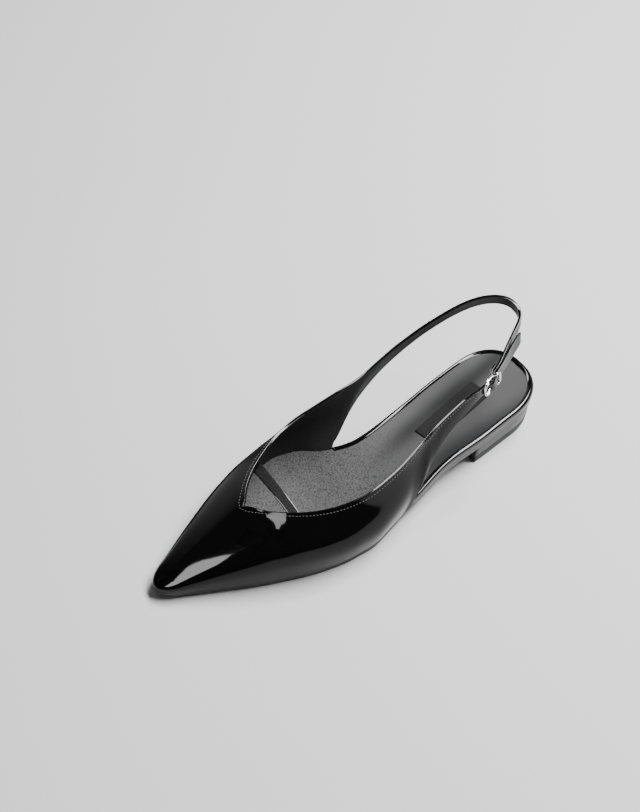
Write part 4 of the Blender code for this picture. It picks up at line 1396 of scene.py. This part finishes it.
class SHOE_OT_stage(bpy.types.Operator):
    """Set the floor, the soft lights and the camera."""

    bl_idname = "shoe.stage"
    bl_label = "Stage"

    def execute(self, context):
        stage = context.scene.shoe_stage
        bm = bmesh.new()
        bmesh.ops.create_grid(bm, x_segments=1, y_segments=1, size=FLOOR_HALF)
        add_object("floor", bm, [new_material("floor", stage.floor, FLOOR_ROUGHNESS)[0]])

        world = bpy.data.worlds.new("studio")
        world.use_nodes = True
        sky = world.node_tree.nodes["Background"]
        sky.inputs["Color"].default_value = WHITE
        sky.inputs["Strength"].default_value = stage.sky
        context.scene.world = world

        self.soft_light("key light", *KEY_LIGHT, stage.key_light)
        self.bright_cards(stage)
        self.black_cards()
        self.photo_camera(context.scene)
        return {"FINISHED"}

    def bright_cards(self, stage):
        """Panels, window and walls that the leather reflects."""
        for name, (azimuth, elevation, distance), outline, strength in (
            ("toe panel", PANEL_PLANE, TOE_PANEL, stage.toe_glow),
            ("throat panel", PANEL_PLANE, THROAT_PANEL, stage.throat_glow),
            ("window", WINDOW_PLANE, WINDOW, stage.window_glow),
        ):
            back, level, upward = self.facing(azimuth, elevation)
            corners = [back * distance + (level * u + upward * v) * MM for u, v in outline]
            self.gloss_card(name, corners, self.glow(name, strength))
        for wall in REAR_WALLS:
            self.gloss_card("rear wall", self.upright(*wall), self.glow("rear wall", stage.wall_glow))
        self.gloss_card("side panel", self.upright(*SIDE_PANEL), self.fading_glow(stage.side_glow))
        self.gloss_card("edge panel", self.upright(*EDGE_PANEL), self.glow("edge panel", stage.edge_glow))

    def black_cards(self):
        """Cards that keep stray reflections off the leather."""
        black = new_material("dark card", CARD_BLACK, CARD_ROUGHNESS)[0]
        self.gloss_card("dark card", self.upright(*DARK_CARD), black)
        self.gloss_card("shade card", [Vector((*spot, SHADE_LEVEL)) for spot in SHADE_CARD], black)
        for centre, aim, (wide, high) in FLAGS:
            _, level, upward = self.facing(*aim)
            sides = ((-wide, -high), (wide, -high), (wide, high), (-wide, high))
            corners = [Vector(centre) + (level * a + upward * b) * MM for a, b in sides]
            self.gloss_card("flag", corners, black)

    def photo_camera(self, scene):
        """Camera that looks at the shoe as the picture does."""
        camera = bpy.data.cameras.new("camera")
        camera.sensor_width = SENSOR
        camera.lens = FOCAL_PIXELS * SENSOR / max(PICTURE)
        holder = bpy.data.objects.new("camera", camera)
        holder.location = place(CAMERA_PLACE)
        holder.rotation_mode = "QUATERNION"
        holder.rotation_quaternion = Vector(CAMERA_LOOK).to_track_quat("-Z", "Y")
        scene.collection.objects.link(holder)
        scene.camera = holder

    def facing(self, azimuth, elevation):
        """Direction from the shoe to a light, with the level and the upward axis of its plane."""
        a, e = math.radians(azimuth), math.radians(elevation)
        back = Vector((math.cos(a) * math.cos(e), math.sin(a) * math.cos(e), math.sin(e)))
        level = Vector((-math.sin(a), math.cos(a), 0.0))
        return back, level, back.cross(level)

    def soft_light(self, name, azimuth, elevation, distance, size, power):
        """Rectangular light that faces the middle of the shoe."""
        lamp = bpy.data.lights.new(name, "AREA")
        lamp.shape = "RECTANGLE"
        lamp.size, lamp.size_y = size
        lamp.energy = power
        back, level, upward = self.facing(azimuth, elevation)
        turn = Matrix((level, upward, back)).transposed().to_4x4()
        holder = bpy.data.objects.new(name, lamp)
        holder.matrix_world = Matrix.Translation(back * distance) @ turn
        bpy.context.scene.collection.objects.link(holder)

    def upright(self, start, end, low, high):
        """Corners of an upright card between two points in plan."""
        return [Vector((*spot, z)) for spot, z in ((start, low), (end, low), (end, high), (start, high))]

    def glow(self, name, strength):
        """Even glow."""
        return new_material(name, BLACK, 1.0, Emission_Color=WHITE, Emission_Strength=strength)[0]

    def fading_glow(self, strength):
        """Glow that fades towards the ends and the top of the side panel."""
        material, tree, shader, vector = new_material("side glow", BLACK, 1.0, Emission_Strength=strength)
        axes = tree.nodes.new("ShaderNodeSeparateXYZ")
        tree.links.new(vector, axes.inputs["Vector"])
        last = None
        for axis, gone, full in SIDE_FADES:
            limits = {"From Min": gone, "From Max": full}
            fade = add_node(tree, "ShaderNodeMapRange", limits, interpolation_type="SMOOTHSTEP")
            tree.links.new(axes.outputs[axis], fade.inputs["Value"])
            last = multiply(tree, last, fade.outputs["Result"]) if last else fade.outputs["Result"]
        tree.links.new(last, shader.inputs["Emission Color"])
        return material

    def gloss_card(self, name, corners, material):
        """Flat card that only the gloss of the leather shows."""
        bm = bmesh.new()
        bmesh.ops.contextual_create(bm, geom=[bm.verts.new(corner) for corner in corners])
        card = add_object(name, bm, [material])
        card.visible_camera = card.visible_diffuse = card.visible_shadow = False


PIECES = (
    SHOE_OT_upper,
    SHOE_OT_stitches,
    SHOE_OT_sock,
    SHOE_OT_rim,
    SHOE_OT_outsole,
    SHOE_OT_heel,
    SHOE_OT_label,
    SHOE_OT_throat_band,
    SHOE_OT_buckle,
    SHOE_OT_stage,
)


class SHOE_PT_panel(bpy.types.Panel):
    """Buttons for the pieces of the shoe and the values they use."""

    bl_idname = "SHOE_PT_panel"
    bl_label = "Slingback Shoe"
    bl_space_type = "VIEW_3D"
    bl_region_type = "UI"
    bl_category = "Shoe"

    def draw(self, context):
        for piece in PIECES:
            self.layout.operator(piece.bl_idname)
        for values in (context.scene.shoe_sizes, context.scene.shoe_finishes, context.scene.shoe_stage):
            box = self.layout.box()
            for name in values.__annotations__:
                box.prop(values, name)


CLASSES = (ShoeSizes, ShoeFinishes, ShoeStage, *PIECES, SHOE_PT_panel)


def register():
    for item in CLASSES:
        bpy.utils.register_class(item)
    bpy.types.Scene.shoe_sizes = PointerProperty(type=ShoeSizes)
    bpy.types.Scene.shoe_finishes = PointerProperty(type=ShoeFinishes)
    bpy.types.Scene.shoe_stage = PointerProperty(type=ShoeStage)


def unregister():
    del bpy.types.Scene.shoe_stage
    del bpy.types.Scene.shoe_finishes
    del bpy.types.Scene.shoe_sizes
    for item in reversed(CLASSES):
        bpy.utils.unregister_class(item)


def main():
    register()
    for piece in PIECES:
        family, action = piece.bl_idname.split(".")
        getattr(getattr(bpy.ops, family), action)()


if __name__ == "__main__":
    main()
